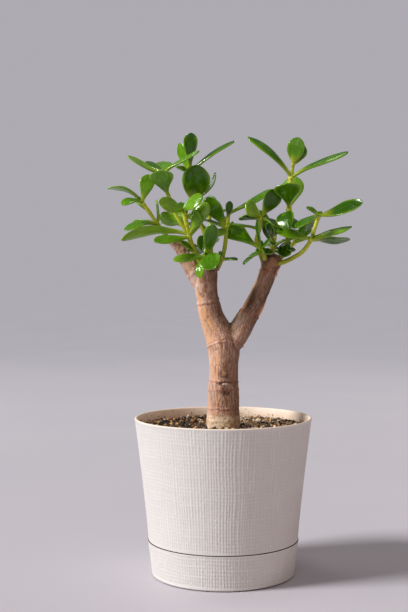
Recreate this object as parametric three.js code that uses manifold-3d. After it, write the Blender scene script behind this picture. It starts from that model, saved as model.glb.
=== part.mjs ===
// A jade plant in a tapered pot that stands in its own deep saucer.
// Millimetres, +Z up. The origin is the middle of the saucer's underside.
// -Y is the front, +X the right-hand side.
import * as THREE from "three";
import { mergeVertices } from "three/addons/utils/BufferGeometryUtils.js";
import Module from "manifold-3d";

const wasm = await Module();
wasm.setup();

// ---------------------------------------------------------------- dimensions

const GAP = 0.3; // left between pieces that touch

const RIM_RADIUS = 80;
const RIM_HEIGHT = 141.5;
const SEAM_HEIGHT = 31.8; // where the pot's wall meets the saucer's
const POT_SEAM_RADIUS = 67.7;
const POT_FLARE = 1.15; // above 1 the wall flares a little towards the rim
const WALL = 2.4;
const LIP_ROUND = 0.9;
const POT_SIDES = 48;
const POT_STEPS = 3;

const SAUCER_FOOT_RADIUS = 62.6; // edge of the flat underside
const SAUCER_LOW_RADIUS = 64.6; // above the rounded foot
const FOOT_ROUND = 2.2;
const SAUCER_RIM_RADIUS = 68.3;
const SAUCER_FLOOR = 2.4;
const SAUCER_CORNER = 2; // bevel between the saucer's floor and its wall, inside

const SPIGOT_CLEARANCE = 0.8; // between the pot's lower end and the saucer's wall
const SPIGOT_BOTTOM = 16; // underside of the pot's floor
const SPIGOT_CHAMFER = 1.2;
const LEDGE_LOW = 1; // the step inside the pot, above the seam
const LEDGE_HIGH = 6;
const DRAIN_RADIUS = 4;
const DRAIN_CIRCLE = 36;
const DRAIN_COUNT = 6;
const DRAIN_SIDES = 12;

const SOIL_HEIGHT = 132;
const SOIL_RELIEF = 1.3;
const SOIL_SWELLS = [30, 33]; // crest to crest of the broad relief, across and back
const SOIL_RIPPLES = [13, -19]; // and of the fine relief, which runs aslant
const SOIL_RINGS = 8;
const SOIL_SIDES = 24;

const TRUNK_RADIUS = 15.2;
const TRUNK_BOTTOM = 92; // height of its lower end, which stands in the soil
const TRUNK_SIDES = 14;
const TWIG_SIDES = 10;
const BARK_LOBES = 3;
const BARK_LOBE_DEPTH = 0.035; // share of the radius by which a limb is out of round
const BARK_TWIST = 0.05; // radians that the lobes turn in each millimetre of height

const STEM_SIDES = 6;
const STEM_STEP = 9; // length of one stretch of a stem
const STEM_FACE = [0.2, -1, 0.1]; // a direction that no stem runs along
const SOCKET_REACH = 16; // how far along a stem the wood is cut clear of it
const LEAF_SIDES = 6;
const LEAF_STEPS = 5;
const LEAF_THICKNESS = 3;
const LEAF_SLIM_WIDTH = 8; // a leaf under this width is thinner in proportion
const LEAF_TIP_THINNING = 0.45; // share of its thickness that a leaf loses by its tip
const LEAF_END = 0.02; // keeps the tip from closing to a point
const LEAF_SHOULDER = 1.9; // above 1 the leaf is widest beyond its middle
const OVAL = 1.3; // the shoulder of a leaf that is widest near its middle
const BROAD = 1.5; // of a strap that is wide from its root on
const SPOON = 3; // and of a leaf that is widest close to its tip
const LEAF_FULLNESS = 0.55; // below 1 the leaf's end is blunt
const PETIOLE_WIDTH = 3;

const COLOURS = {
  planter: { color: 0xe4dbd3, roughness: 0.62, metalness: 0 },
  soil: { color: 0x2b2622, roughness: 0.95, metalness: 0 },
  bark: { color: 0x9c7f68, roughness: 0.85, metalness: 0 },
  foliage: { color: 0x4f8a1c, roughness: 0.32, metalness: 0 },
};

// ------------------------------------------------------------- solid helpers

// A closed three.js geometry as a solid that can be joined and cut.
function solidOf(geometry) {
  const bare = geometry.clone();
  bare.deleteAttribute("normal");
  bare.deleteAttribute("uv");
  const merged = mergeVertices(bare, 1e-4);
  return new wasm.Manifold(
    new wasm.Mesh({
      numProp: 3,
      vertProperties: new Float32Array(merged.attributes.position.array),
      triVerts: new Uint32Array(merged.index.array),
    }),
  );
}

function geometryOf(solid) {
  const mesh = solid.getMesh();
  const geometry = new THREE.BufferGeometry();
  const places = new Float32Array(mesh.numVert * 3);
  for (let i = 0; i < mesh.numVert; i++) {
    const start = i * mesh.numProp;
    places.set(mesh.vertProperties.subarray(start, start + 3), i * 3);
  }
  geometry.setAttribute("position", new THREE.BufferAttribute(places, 3));
  geometry.setIndex(new THREE.BufferAttribute(mesh.triVerts, 1));
  return geometry;
}

const join = (solids) => solids.reduce((whole, solid) => whole.add(solid));
const cut = (solid, tools) => tools.reduce((rest, tool) => rest.subtract(tool), solid);

// A round body from a profile of [radius, height] points, turned about Z.
function turned(profile, sides) {
  const points = profile.map(([radius, height]) => new THREE.Vector2(radius, height));
  return new THREE.LatheGeometry(points, sides).rotateX(Math.PI / 2);
}

// A rod whose unit section is carried along a path: place(u, across, up) gives the point.
function swept(sides, steps, place) {
  const rod = new THREE.CylinderGeometry(1, 1, 1, sides, steps);
  const at = rod.attributes.position;
  for (let i = 0; i < at.count; i++) {
    const point = place(at.getY(i) + 0.5, at.getX(i), at.getZ(i));
    at.setXYZ(i, point.x, point.y, point.z);
  }
  return rod;
}

// Two directions square to `along`, the second as near as it can be to `face`.
function squareTo(along, face) {
  const up = face.clone().addScaledVector(along, -face.dot(along)).normalize();
  const across = new THREE.Vector3().crossVectors(along, up);
  return { across, up };
}

const vector = (xyz) => new THREE.Vector3(...xyz);

// ------------------------------------------------------------ pot and saucer

function potRadius(height) {
  const share = (height - SEAM_HEIGHT) / (RIM_HEIGHT - SEAM_HEIGHT);
  return POT_SEAM_RADIUS + (RIM_RADIUS - POT_SEAM_RADIUS) * share ** POT_FLARE;
}

function saucerRadius(height) {
  const share = (height - FOOT_ROUND) / (SEAM_HEIGHT - FOOT_ROUND);
  return SAUCER_LOW_RADIUS + (SAUCER_RIM_RADIUS - SAUCER_LOW_RADIUS) * share;
}

const spigotRadius = (height) => saucerRadius(height) - WALL - SPIGOT_CLEARANCE;

function steps(from, to, count) {
  return Array.from({ length: count + 1 }, (_, i) => from + ((to - from) * i) / count);
}

// The pot's inner wall from the rim down to its floor, each point moved inwards by `inset`.
function potInside(top, inset) {
  const ledge = SEAM_HEIGHT + LEDGE_HIGH;
  const floor = SPIGOT_BOTTOM + WALL;
  const wall = steps(top, ledge, POT_STEPS).map((z) => [potRadius(z) - WALL - inset, z]);
  return [
    ...wall,
    [spigotRadius(SEAM_HEIGHT) - WALL - inset, SEAM_HEIGHT + LEDGE_LOW],
    [spigotRadius(floor) - WALL - inset, floor + inset],
  ];
}

function makePot() {
  const outside = steps(SEAM_HEIGHT, RIM_HEIGHT - LIP_ROUND, POT_STEPS);
  const profile = [
    [0, SPIGOT_BOTTOM],
    [spigotRadius(SPIGOT_BOTTOM) - SPIGOT_CHAMFER, SPIGOT_BOTTOM],
    [spigotRadius(SPIGOT_BOTTOM), SPIGOT_BOTTOM + SPIGOT_CHAMFER],
    [spigotRadius(SEAM_HEIGHT), SEAM_HEIGHT],
    ...outside.map((z) => [potRadius(z), z]),
    [RIM_RADIUS - LIP_ROUND / 2, RIM_HEIGHT],
    [RIM_RADIUS - WALL + LIP_ROUND / 2, RIM_HEIGHT],
    ...potInside(RIM_HEIGHT - LIP_ROUND, 0),
    [0, SPIGOT_BOTTOM + WALL],
  ];
  const drains = Array.from({ length: DRAIN_COUNT }, (_, i) => {
    const angle = (i * 2 * Math.PI) / DRAIN_COUNT;
    const drill = new THREE.CylinderGeometry(DRAIN_RADIUS, DRAIN_RADIUS, 2 * WALL, DRAIN_SIDES);
    drill.rotateX(Math.PI / 2);
    drill.translate(
      DRAIN_CIRCLE * Math.cos(angle),
      DRAIN_CIRCLE * Math.sin(angle),
      SPIGOT_BOTTOM + WALL / 2,
    );
    return solidOf(drill);
  });
  return cut(solidOf(turned(profile, POT_SIDES)), drains);
}

function makeSaucer() {
  const rim = SEAM_HEIGHT - GAP;
  const corner = SAUCER_FLOOR + SAUCER_CORNER;
  const inner = (height) => saucerRadius(height) - WALL;
  const halfway = Math.PI / 4; // round the quarter turn of the foot's edge
  const profile = [
    [0, 0],
    [SAUCER_FOOT_RADIUS, 0],
    [
      SAUCER_FOOT_RADIUS + (SAUCER_LOW_RADIUS - SAUCER_FOOT_RADIUS) * Math.sin(halfway),
      FOOT_ROUND * (1 - Math.cos(halfway)),
    ],
    [SAUCER_LOW_RADIUS, FOOT_ROUND],
    [saucerRadius(rim), rim],
    [inner(rim), rim],
    [inner(corner), corner],
    [inner(SAUCER_FLOOR) - SAUCER_CORNER, SAUCER_FLOOR],
    [0, SAUCER_FLOOR],
  ];
  return solidOf(turned(profile, POT_SIDES));
}

// ---------------------------------------------------------------------- soil

// Height of the soil's loose surface over its level.
function soilRelief(x, y) {
  const turn = 2 * Math.PI;
  const broad = Math.sin((turn * x) / SOIL_SWELLS[0]) * Math.cos((turn * y) / SOIL_SWELLS[1]);
  const fine = Math.sin(turn * (x / SOIL_RIPPLES[0] + y / SOIL_RIPPLES[1]));
  return (SOIL_RELIEF * (broad + fine)) / 2;
}

// The earth fills the pot to the wall and is open where the trunk stands in it.
function makeSoil() {
  const edge = potRadius(SOIL_HEIGHT) - WALL - GAP;
  const bottom = potInside(SOIL_HEIGHT, GAP).reverse();
  const rings = steps(edge, 0, SOIL_RINGS).slice(1);
  const profile = [
    [0, SPIGOT_BOTTOM + WALL + GAP],
    ...bottom,
    ...rings.map((radius) => [radius, SOIL_HEIGHT]),
  ];
  const earth = turned(profile, SOIL_SIDES);
  const at = earth.attributes.position;
  for (let i = 0; i < at.count; i++) {
    const [x, y] = [at.getX(i), at.getY(i)];
    const onTop = at.getZ(i) > SOIL_HEIGHT - GAP && Math.hypot(x, y) < edge - GAP;
    if (onTop) at.setZ(i, SOIL_HEIGHT + soilRelief(x, y));
  }
  const bore = TRUNK_RADIUS * (1 + BARK_LOBE_DEPTH) + GAP;
  const low = TRUNK_BOTTOM - GAP;
  const high = SOIL_HEIGHT + 2 * SOIL_RELIEF;
  const socket = [
    [0, low],
    [bore, low],
    [bore, high],
    [0, high],
  ];
  return cut(solidOf(earth), [solidOf(turned(socket, 2 * TRUNK_SIDES))]);
}

// --------------------------------------------------------------------- trunk

// Woody limbs as [x, y, z, radius] from the bottom up. Bulges are old leaf rings.
const TRUNK = [
  [0, 0, TRUNK_BOTTOM, 12.5],
  [0, 0, TRUNK_BOTTOM + 5, 15],
  [0, 0, SOIL_HEIGHT, TRUNK_RADIUS],
  [-0.2, 0, 145, 14.9],
  [-0.2, 0, 149, 14.3],
  [-0.2, 0, 169, 14.1],
  [0, 0, 174, 13.6],
  [0.3, 0, 190, 13.3],
  [0.6, 0, 203, 14.2],
  [-0.5, 0, 210, 14.4],
  [-5, -0.5, 221, 12.4],
  [-10.5, -1, 234, 10.8],
  [-12.3, -1.5, 241, 10.5],
  [-14, -2, 249, 9.9],
  [-16, -3, 262, 10.3],
  [-15.2, -3, 273, 9.6],
  [-14.6, -3, 279, 7.6],
  [-14.4, -3, 281.5, 3.5],
];

const RIGHT_LIMB = [
  [1, 0, 200, 8],
  [7, 0, 209, 11],
  [16, 0.5, 221, 10.4],
  [21, 0.8, 230, 9.6],
  [25.5, 1, 238, 8.9],
  [29.5, 1.3, 246, 8.5],
  [33, 1.5, 253.5, 8],
  [37.5, 1.8, 265, 8],
  [41, 2, 275, 8.4],
  [43.5, 2, 283, 8.9],
  [44.2, 2, 287, 7.2],
  [44.4, 2, 289, 3.2],
];

const LEFT_TWIG = [
  [-16, -3, 257, 7],
  [-22, -3, 266, 8],
  [-29, -3, 276, 6.8],
  [-34, -3, 285, 5.9],
  [-38, -3, 292, 4.9],
  [-43, -3, 296.5, 3.9],
  [-48, -3.5, 300, 2.6],
];

// A limb through its stations, a little out of round by a formula that turns as it climbs.
function limb(stations, sides) {
  const centres = stations.map(([x, y, z]) => new THREE.Vector3(x, y, z));
  const last = stations.length - 1;
  return swept(sides, last, (u, x, z) => {
    const i = Math.round(u * last);
    const along = new THREE.Vector3()
      .subVectors(centres[Math.min(i + 1, last)], centres[Math.max(i - 1, 0)])
      .normalize();
    const { across, up } = squareTo(along, new THREE.Vector3(0, -1, 0));
    const angle = Math.atan2(z, x);
    const lobe = Math.sin(BARK_LOBES * angle + BARK_TWIST * centres[i].z);
    const radius = stations[i][3] * (1 + BARK_LOBE_DEPTH * lobe);
    return centres[i]
      .clone()
      .addScaledVector(across, radius * x)
      .addScaledVector(up, radius * z);
  });
}

// -------------------------------------------------------------------- shoots

// A stem runs through its points and thins from its first radius to its last.
function stem(points, radii) {
  const curve = new THREE.CatmullRomCurve3(points.map(vector));
  const radius = (u) => radii[0] + (radii[1] - radii[0]) * u;
  const count = Math.max(3, Math.ceil(curve.getLength() / STEM_STEP));
  return { curve, radius, count };
}

// The stem as a rod, up to a share of its length, `extra` thicker all round.
function stemSolid({ curve, radius, count }, extra = 0, upTo = 1) {
  const rod = swept(STEM_SIDES, count, (u, x, z) => {
    const share = u * upTo;
    const along = curve.getTangentAt(share);
    const { across, up } = squareTo(along, vector(STEM_FACE));
    const thick = radius(share) + extra;
    const point = curve.getPointAt(share);
    if (u === 0) point.addScaledVector(along, -extra);
    return point.addScaledVector(across, thick * x).addScaledVector(up, thick * z);
  });
  return solidOf(rod);
}

// The blade's width over its greatest width, from its root (0) to its tip (1).
function leafOutline(u, shoulder) {
  return Math.max(Math.sin(Math.PI * u ** shoulder), LEAF_END) ** LEAF_FULLNESS;
}

// One leaf: its root is where the stem is at share `at`, `arch` is how far its middle bows
// towards its upper face, `face` is where that face looks, and a greater `shoulder` makes the
// leaf more of a spoon.
function leafSolid(parent, { at, tip, width, arch, face, shoulder }) {
  const root = parent.curve.getPointAt(at);
  const chord = vector(tip).sub(root);
  const { up } = squareTo(chord.clone().normalize(), vector(face));
  const thickness = LEAF_THICKNESS * Math.min(1, width / LEAF_SLIM_WIDTH);
  const blade = swept(LEAF_SIDES, LEAF_STEPS, (share, x, z) => {
    const u = Math.sin((share * Math.PI) / 2); // stations crowd towards the round tip
    const bow = arch * 4 * u * (1 - u);
    const slope = arch * 4 * (1 - 2 * u);
    const centre = root.clone().addScaledVector(chord, u).addScaledVector(up, bow);
    const here = squareTo(chord.clone().addScaledVector(up, slope).normalize(), up);
    const half = Math.max(leafOutline(u, shoulder) * width, PETIOLE_WIDTH * (1 - u)) / 2;
    const thick = (thickness / 2) * (1 - LEAF_TIP_THINNING * u ** 3);
    return centre
      .addScaledVector(here.across, half * x)
      .addScaledVector(here.up, thick * z);
  });
  return solidOf(blade);
}

const leaf = (at, tip, width, arch, face, shoulder = LEAF_SHOULDER) => ({
  at,
  tip,
  width,
  arch,
  face,
  shoulder,
});
const UP = [0, 0, 1];
const UP_FRONT = [0, -0.4, 1];
const FRONT_UP = [0, -0.8, 0.6];
const BACK_UP = [0, 0.8, 0.6];

// Every leafy shoot: its stems, each with its points, its two radii and its leaves. The
// first stem stands in the wood, the next ones branch off it.
const SHOOTS = {
  shoot_left_tip: [
    {
      points: [[-42, -3, 295], [-52, -5, 306], [-60, -7, 317], [-68, -10, 329], [-74, -12, 337]],
      radii: [2, 1.6],
      leaves: [
        leaf(0.48, [-87, -21, 309], 12, 4, [0, -0.5, 1]),
        leaf(0.5, [-60, -4, 337], 9, 1, [1, 0.2, 0]),
        leaf(0.48, [-82, 14, 316], 12, 3, UP),
        leaf(0.75, [-84, 12, 339], 11, 2, UP),
        leaf(0.97, [-102, -18, 346], 11, 5, [0, 0.3, 1]),
        leaf(0.94, [-66, -9, 359], 13, 3, [0.1, -1, 0]),
        leaf(0.92, [-89, -24, 331], 12, 4, [-0.2, -0.7, 1]),
      ],
    },
  ],
  shoot_left_front: [
    {
      points: [[-19, -4, 275], [-23, -7, 286], [-30, -10, 303], [-33, -13, 317], [-35, -15, 326]],
      radii: [2.3, 1.8],
      leaves: [
        leaf(0.62, [-89, -26, 300], 14, 8, [-0.1, 0.85, 1]),
        leaf(0.56, [-60, -34, 299], 13, 1, [0, -0.9, 1]),
        leaf(0.58, [-24, -21, 327], 12, -5, [-0.63, -0.6, -0.1]),
        leaf(0.6, [-14, -16, 334], 14, 2, [-0.1, -0.9, 0.3]),
        leaf(0.8, [-58, 4, 322], 14, 1, [0, 1, 0.5]),
        leaf(0.88, [-20, -8, 330], 9, 1, [-0.4, 0.3, 1]),
        leaf(0.98, [-56, -38, 332], 16, 3, [0, -1, 0.5]),
        leaf(0.98, [-18, -32, 338], 18, 4, [-0.4, -0.8, 0.6]),
        leaf(0.3, [-38, -14, 299], 9, 1, [-0.2, -0.5, 0.8]),
      ],
    },
    {
      points: [[-31, -11, 307], [-35, -12, 312], [-43, -13, 325], [-48, -13, 339], [-53, -11, 351],
        [-54, -10, 361]],
      radii: [1.8, 1.4],
      leaves: [
        leaf(0.62, [-56, -28, 361], 23, -1, [0.2, 0.75, 0.6], SPOON),
        leaf(0.98, [-85, -12, 375], 11, -1, [0.2, -0.5, 1]),
        leaf(0.98, [-70, 12, 373], 9, 1, [0, -0.3, 1]),
        leaf(0.97, [-55, 20, 373], 17, 0, [0, -0.9, 0.5]),
        leaf(0.98, [-21, -18, 379], 9, 1, [-0.3, -0.5, 1]),
      ],
    },
  ],
  shoot_left_centre: [
    {
      points: [[-18, 2, 275], [-16, 6, 289], [-16, 8, 304], [-22, 9, 320], [-28, 8, 339],
        [-30, 8, 352], [-30, 8, 363]],
      radii: [2.3, 1.8],
      leaves: [
        leaf(0.52, [-15, -2, 335], 11, 1, [-1, -0.3, 0]),
        leaf(0.52, [-49, 22, 326], 12, 1, UP_FRONT),
        leaf(0.73, [-22, -16, 366], 26, -1, [0.1, 0.85, 0.5], OVAL),
        leaf(0.73, [-7, 2, 362], 11, -5, [-0.8, -0.4, 0.5]),
        leaf(0.73, [-25, 36, 356], 15, 1, FRONT_UP),
        leaf(0.98, [-29, 4, 398], 14, -1, [0.3, 1, 0.1], SPOON),
        leaf(0.98, [-40, 16, 390], 11, 0, [0.6, 1, 0.2]),
        leaf(0.98, [10, 8, 391], 12, 3, [-0.4, -0.4, 1]),
        leaf(0.98, [-42, -4, 367], 8, 1, [0.1, 0.3, 1]),
      ],
    },
  ],
  shoot_left_right: [
    {
      points: [[-6, 0, 274], [-1, 0, 285], [2, -1, 299], [3, -2, 312], [5, -3, 326]],
      radii: [2.1, 1.7],
      leaves: [
        leaf(0.22, [13, -5, 284], 8, 0, [0, -0.35, 1]),
        leaf(0.735, [-14, -8, 339], 15, 0, [-0.4, -0.9, 0.2]),
        leaf(0.735, [-17, 12, 320], 10, 1, UP),
        leaf(0.735, [-5, -18, 304], 12, 1, [-0.3, -1, 0.4]),
        leaf(0.85, [-4, 30, 322], 12, 2, UP_FRONT),
        leaf(0.9, [6, -6, 336], 7, 0, [0, -1, 0.2]),
        leaf(0.98, [43, 4, 347], 12, -1, [-0.2, -0.5, 1]),
      ],
    },
  ],
  rosette_left: [
    {
      points: [[-12, -6, 272], [-13, -10, 281], [-15, -12, 288]],
      radii: [2.4, 2],
      leaves: [
        leaf(0.85, [-20, -27, 267], 10, 5, [-0.5, -0.8, 0.4]),
        leaf(0.85, [-8, -34, 275], 20, 6, [-0.4, -0.5, 0.8]),
        leaf(0.85, [-44, -22, 283], 12, 2, [0, -0.8, 1]),
        leaf(0.9, [-9, -30, 314], 14, -1, BACK_UP),
        leaf(0.9, [-21, -3, 305], 11, 1, BACK_UP),
        leaf(0.97, [-13, -11, 296], 4, 0, BACK_UP),
      ],
    },
  ],
  shoot_left_back: [
    {
      points: [[-11, 3, 273], [-11, 9, 285], [-11, 15, 297], [-11, 20, 311], [-13, 24, 324]],
      radii: [2, 1.6],
      leaves: [
        leaf(0.6, [-10, 48, 300], 14, 3, [0, 0.5, 1]),
        leaf(0.6, [-30, 32, 323], 12, 1, UP),
        leaf(0.98, [-12, 42, 344], 13, 0, FRONT_UP),
        leaf(0.98, [-34, 32, 338], 12, 1, UP),
        leaf(0.98, [4, 36, 331], 12, 1, UP),
      ],
    },
  ],
  shoot_left_far: [
    {
      points: [[-23, 0, 276], [-26, 7, 285], [-28, 13, 293], [-32, 20, 304], [-37, 26, 315]],
      radii: [2, 1.6],
      leaves: [
        leaf(0.55, [-58, 20, 303], 12, 1, [0, 0.2, 1]),
        leaf(0.55, [-22, 40, 290], 12, 2, [0, 0.3, 1]),
        leaf(0.98, [-58, 38, 318], 13, 2, UP),
        leaf(0.98, [-40, 40, 338], 12, 0, FRONT_UP),
        leaf(0.98, [-30, 52, 318], 13, 2, UP),
      ],
    },
  ],
  shoot_right_tall: [
    {
      points: [[49, 3, 281], [54, 5, 289], [58, 5, 299], [59, 3, 311], [59, 2, 324],
        [60, 0, 342], [61, 0, 359]],
      radii: [2.5, 2.2],
      leaves: [
        leaf(0.27, [53, -14, 286], 13, 2, FRONT_UP),
        leaf(0.54, [57, -28, 310], 17, 9, [-0.4, -0.8, 0.5]),
        leaf(0.54, [63, -18, 311], 12, 3, [0.3, -0.5, 0.8]),
        leaf(0.63, [56, -24, 350], 24, 0, BACK_UP, SPOON),
        leaf(0.63, [66, 26, 361], 20, 0, [-0.1, -0.9, 0.4]),
        leaf(0.98, [22, 2, 394], 13, 5, [0.3, -0.7, 1]),
        leaf(0.98, [112, -3, 380], 11, 2, [-0.2, -0.6, 1]),
        leaf(0.2, [62, -12, 291], 9, 1, UP),
      ],
    },
    {
      points: [[61, 0, 356], [62, 0, 364], [63, -1, 372]],
      radii: [1.8, 1.4],
      leaves: [
        leaf(0.9, [67, -4, 393], 16, -1, [0.2, 1, 0.2], OVAL),
        leaf(0.8, [73, 12, 388], 14, 0, [-0.3, -1, 0.3], OVAL),
      ],
    },
  ],
  shoot_right_outer: [
    {
      points: [[46, 0, 279], [53, -3, 281], [62, -6, 285], [71, -9, 291], [78, -10, 301],
        [82, -10, 313], [86, -10, 324]],
      radii: [2.1, 1.7],
      leaves: [
        leaf(0.64, [47, -14, 309], 14, 2, [0, -0.9, 1]),
        leaf(0.64, [115, -8, 313], 11, 0, [-0.2, -0.6, 1], BROAD),
        leaf(0.63, [115, 8, 302], 12, 0, [0, 0.6, 1], BROAD),
        leaf(0.98, [123, -20, 334], 16, -1, [-0.1, -0.7, 0.7], BROAD),
        leaf(0.98, [64, -32, 311], 12, 2, [-0.3, -0.5, 1]),
        leaf(0.98, [75, -4, 331], 8, 1, [0, -0.4, 1]),
        leaf(0.95, [76, 6, 310], 13, 2, [-0.3, -0.2, 1]),
      ],
    },
  ],
  shoot_right_inner: [
    {
      points: [[37, 3, 279], [32, 4, 294], [30, 2, 301], [33, -2, 314], [34, -4, 323]],
      radii: [2.2, 1.7],
      leaves: [
        leaf(0.98, [49, -4, 346], 18, 0, [-0.3, 0.9, 0.4]),
        leaf(0.98, [20, -14, 333], 18, 1, [-0.1, -0.8, 0.6]),
        leaf(0.95, [14, -10, 320], 11, 1, [0, 0.5, 1]),
        leaf(0.72, [6, -12, 315], 9, 1, [0, -0.2, 1]),
        leaf(0.95, [51, -14, 311], 12, 2, [0.3, -0.4, 1]),
      ],
    },
  ],
  rosette_right: [
    {
      points: [[40, -1, 280], [37, -6, 286], [34, -10, 293]],
      radii: [2.1, 1.9],
      leaves: [
        leaf(0.8, [18, -20, 279], 8, 2, UP),
        leaf(0.8, [23, -24, 286], 8, 1, UP),
        leaf(0.9, [4, 8, 312], 19, 3, [-0.2, -0.7, 0.6], SPOON),
        leaf(0.9, [30, -15, 319], 6, 1, [-0.8, -0.5, 0]),
        leaf(0.98, [33, -10, 301], 5, 0, BACK_UP),
        leaf(0.98, [42, -19, 301], 8, 1, [-0.2, -0.6, 0.7]),
      ],
    },
  ],
  shoot_right_centre: [
    {
      points: [[44, 0, 284], [45, -2, 294], [44, -3, 304]],
      radii: [2, 1.7],
      leaves: [
        leaf(0.35, [37, -17, 289], 9, 2, FRONT_UP),
        leaf(0.6, [37, 2, 317], 9, 0, [-0.6, -0.8, 0]),
        leaf(0.9, [41, -21, 316], 10, 1, [-0.3, -0.8, 0.3]),
        leaf(0.98, [51, 4, 317], 10, 0, [0.4, -0.8, 0.3]),
        leaf(0.5, [54, -17, 301], 8, 1, [0, -0.5, 1]),
      ],
    },
  ],
  shoot_right_back: [
    {
      points: [[40, 7, 279], [42, 13, 287], [46, 17, 296], [48, 22, 309]],
      radii: [2.1, 1.7],
      leaves: [
        leaf(0.5, [44, 44, 296], 13, 3, UP),
        leaf(0.98, [48, 50, 318], 14, 2, UP),
        leaf(0.98, [30, 34, 330], 13, 0, FRONT_UP),
        leaf(0.98, [70, 34, 316], 12, 1, UP),
      ],
    },
  ],
  shoot_right_far: [
    {
      points: [[45, 7, 278], [51, 13, 285], [58, 17, 292], [66, 21, 300]],
      radii: [2.1, 1.7],
      leaves: [
        leaf(0.5, [46, 34, 290], 11, 2, UP),
        leaf(0.98, [98, 24, 306], 13, 2, UP),
        leaf(0.98, [66, 46, 312], 13, 2, UP),
        leaf(0.98, [80, 30, 316], 12, 0, FRONT_UP),
      ],
    },
  ],
};

const shoots = Object.entries(SHOOTS).map(([name, stems]) => {
  const grown = stems.map(({ points, radii, leaves }) => ({ ...stem(points, radii), leaves }));
  const solids = grown.flatMap((parent) => [
    stemSolid(parent),
    ...parent.leaves.map((spec) => leafSolid(parent, spec)),
  ]);
  const buried = Math.min(1, SOCKET_REACH / grown[0].curve.getLength());
  return { name, solid: join(solids), socket: stemSolid(grown[0], GAP, buried) };
});

// ------------------------------------------------------------------ assembly

const group = new THREE.Group();

function addPiece(name, solid, colour) {
  const material = new THREE.MeshStandardMaterial(COLOURS[colour]);
  const mesh = new THREE.Mesh(geometryOf(solid), material);
  mesh.name = name;
  group.add(mesh);
}

const wood = join([
  solidOf(limb(TRUNK, TRUNK_SIDES)),
  solidOf(limb(RIGHT_LIMB, TRUNK_SIDES)),
  solidOf(limb(LEFT_TWIG, TWIG_SIDES)),
]);
addPiece("saucer", makeSaucer(), "planter");
addPiece("pot", makePot(), "planter");
addPiece("soil", makeSoil(), "soil");
addPiece("trunk", cut(wood, shoots.map((shoot) => shoot.socket)), "bark");
for (const shoot of shoots) addPiece(shoot.name, shoot.solid, "foliage");

export default group;
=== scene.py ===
import math

import bmesh
import bpy
import numpy as np
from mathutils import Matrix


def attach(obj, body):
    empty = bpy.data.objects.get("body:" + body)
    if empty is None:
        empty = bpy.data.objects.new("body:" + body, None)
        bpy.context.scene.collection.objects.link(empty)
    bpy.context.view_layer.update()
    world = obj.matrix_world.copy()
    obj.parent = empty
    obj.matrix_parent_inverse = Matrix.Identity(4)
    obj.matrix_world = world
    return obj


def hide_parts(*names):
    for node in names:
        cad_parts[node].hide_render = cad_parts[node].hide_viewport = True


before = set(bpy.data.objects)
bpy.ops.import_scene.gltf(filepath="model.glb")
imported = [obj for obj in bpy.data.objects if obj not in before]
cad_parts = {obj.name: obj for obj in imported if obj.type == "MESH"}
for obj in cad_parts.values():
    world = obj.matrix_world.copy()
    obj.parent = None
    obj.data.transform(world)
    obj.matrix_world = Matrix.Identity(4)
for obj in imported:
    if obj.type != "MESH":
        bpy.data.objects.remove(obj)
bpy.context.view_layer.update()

MM = 0.001
BODY = "root"

# ---------------------------------------------------------------- dimensions
# The same named values as the solids have.

GAP = 0.3
RIM_RADIUS = 80
RIM_HEIGHT = 141.5
SEAM_HEIGHT = 31.8
POT_SEAM_RADIUS = 67.7
POT_FLARE = 1.15
WALL = 2.4
SAUCER_FOOT_RADIUS = 62.6
SAUCER_LOW_RADIUS = 64.6
FOOT_ROUND = 2.2
SAUCER_RIM_RADIUS = 68.3
SAUCER_FLOOR = 2.4
SAUCER_CORNER = 2
SPIGOT_CLEARANCE = 0.8
SPIGOT_BOTTOM = 16
SPIGOT_CHAMFER = 1.2
LEDGE_LOW = 1
LEDGE_HIGH = 6
DRAIN_RADIUS = 4
DRAIN_CIRCLE = 36
DRAIN_COUNT = 6
SOIL_HEIGHT = 132
SOIL_RELIEF = 1.3
SOIL_SWELLS = (30, 33)
SOIL_RIPPLES = (13, -19)
TRUNK_RADIUS = 15.2
TRUNK_BOTTOM = 92
BARK_LOBES = 3
BARK_LOBE_DEPTH = 0.035
BARK_TWIST = 0.05
STEM_FACE = (0.2, -1, 0.1)
LEAF_THICKNESS = 3
LEAF_SLIM_WIDTH = 8
LEAF_TIP_THINNING = 0.45
LEAF_SHOULDER = 1.9
OVAL = 1.3
BROAD = 1.5
SPOON = 3
LEAF_FULLNESS = 0.55
PETIOLE_WIDTH = 3

# ------------------------------------------------------------------- camera

EYE = (0, -0.9966, 0.2718)
EYE_DIP = 1.72  # degrees below level


def placed(name, data):
    """A new object of that data, in the scene."""
    made = bpy.data.objects.new(name, data)
    bpy.context.scene.collection.objects.link(made)
    return made


camera = placed("camera", bpy.data.cameras.new("camera"))
camera.data.lens = 65
camera.data.sensor_width = 36
camera.data.shift_x = -0.0314
camera.data.clip_start = 0.05
camera.data.clip_end = 100
camera.location = EYE
camera.rotation_euler = (math.radians(90 - EYE_DIP), 0, 0)
bpy.context.scene.camera = camera

# ------------------------------------------------------------- mesh helpers

CELL_MIX = (374761393, 668265263, 1442695041)  # large odd numbers that scatter the cells
SEED_MIX = 69069
BIT_MIX = 1274126177
BITS = 0xFFFFFFFF


def noise(points, seed):
    """Smooth values from -1 to 1 in space, with one cell of the lattice to a unit."""
    points = np.asarray(points, float)
    cell = np.floor(points).astype(np.int64)
    part = points - cell
    part = part**3 * (part * (part * 6 - 15) + 10)
    total = np.zeros(len(points))
    for corner in np.ndindex(2, 2, 2):
        mixed = ((cell + corner) @ CELL_MIX + seed * SEED_MIX) & BITS
        mixed = ((mixed ^ (mixed >> 13)) * BIT_MIX) & BITS
        mixed ^= mixed >> 16
        share = np.prod(np.where(np.array(corner, bool), part, 1 - part), axis=1)
        total += share * (mixed / (BITS >> 1) - 1)
    return total


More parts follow.
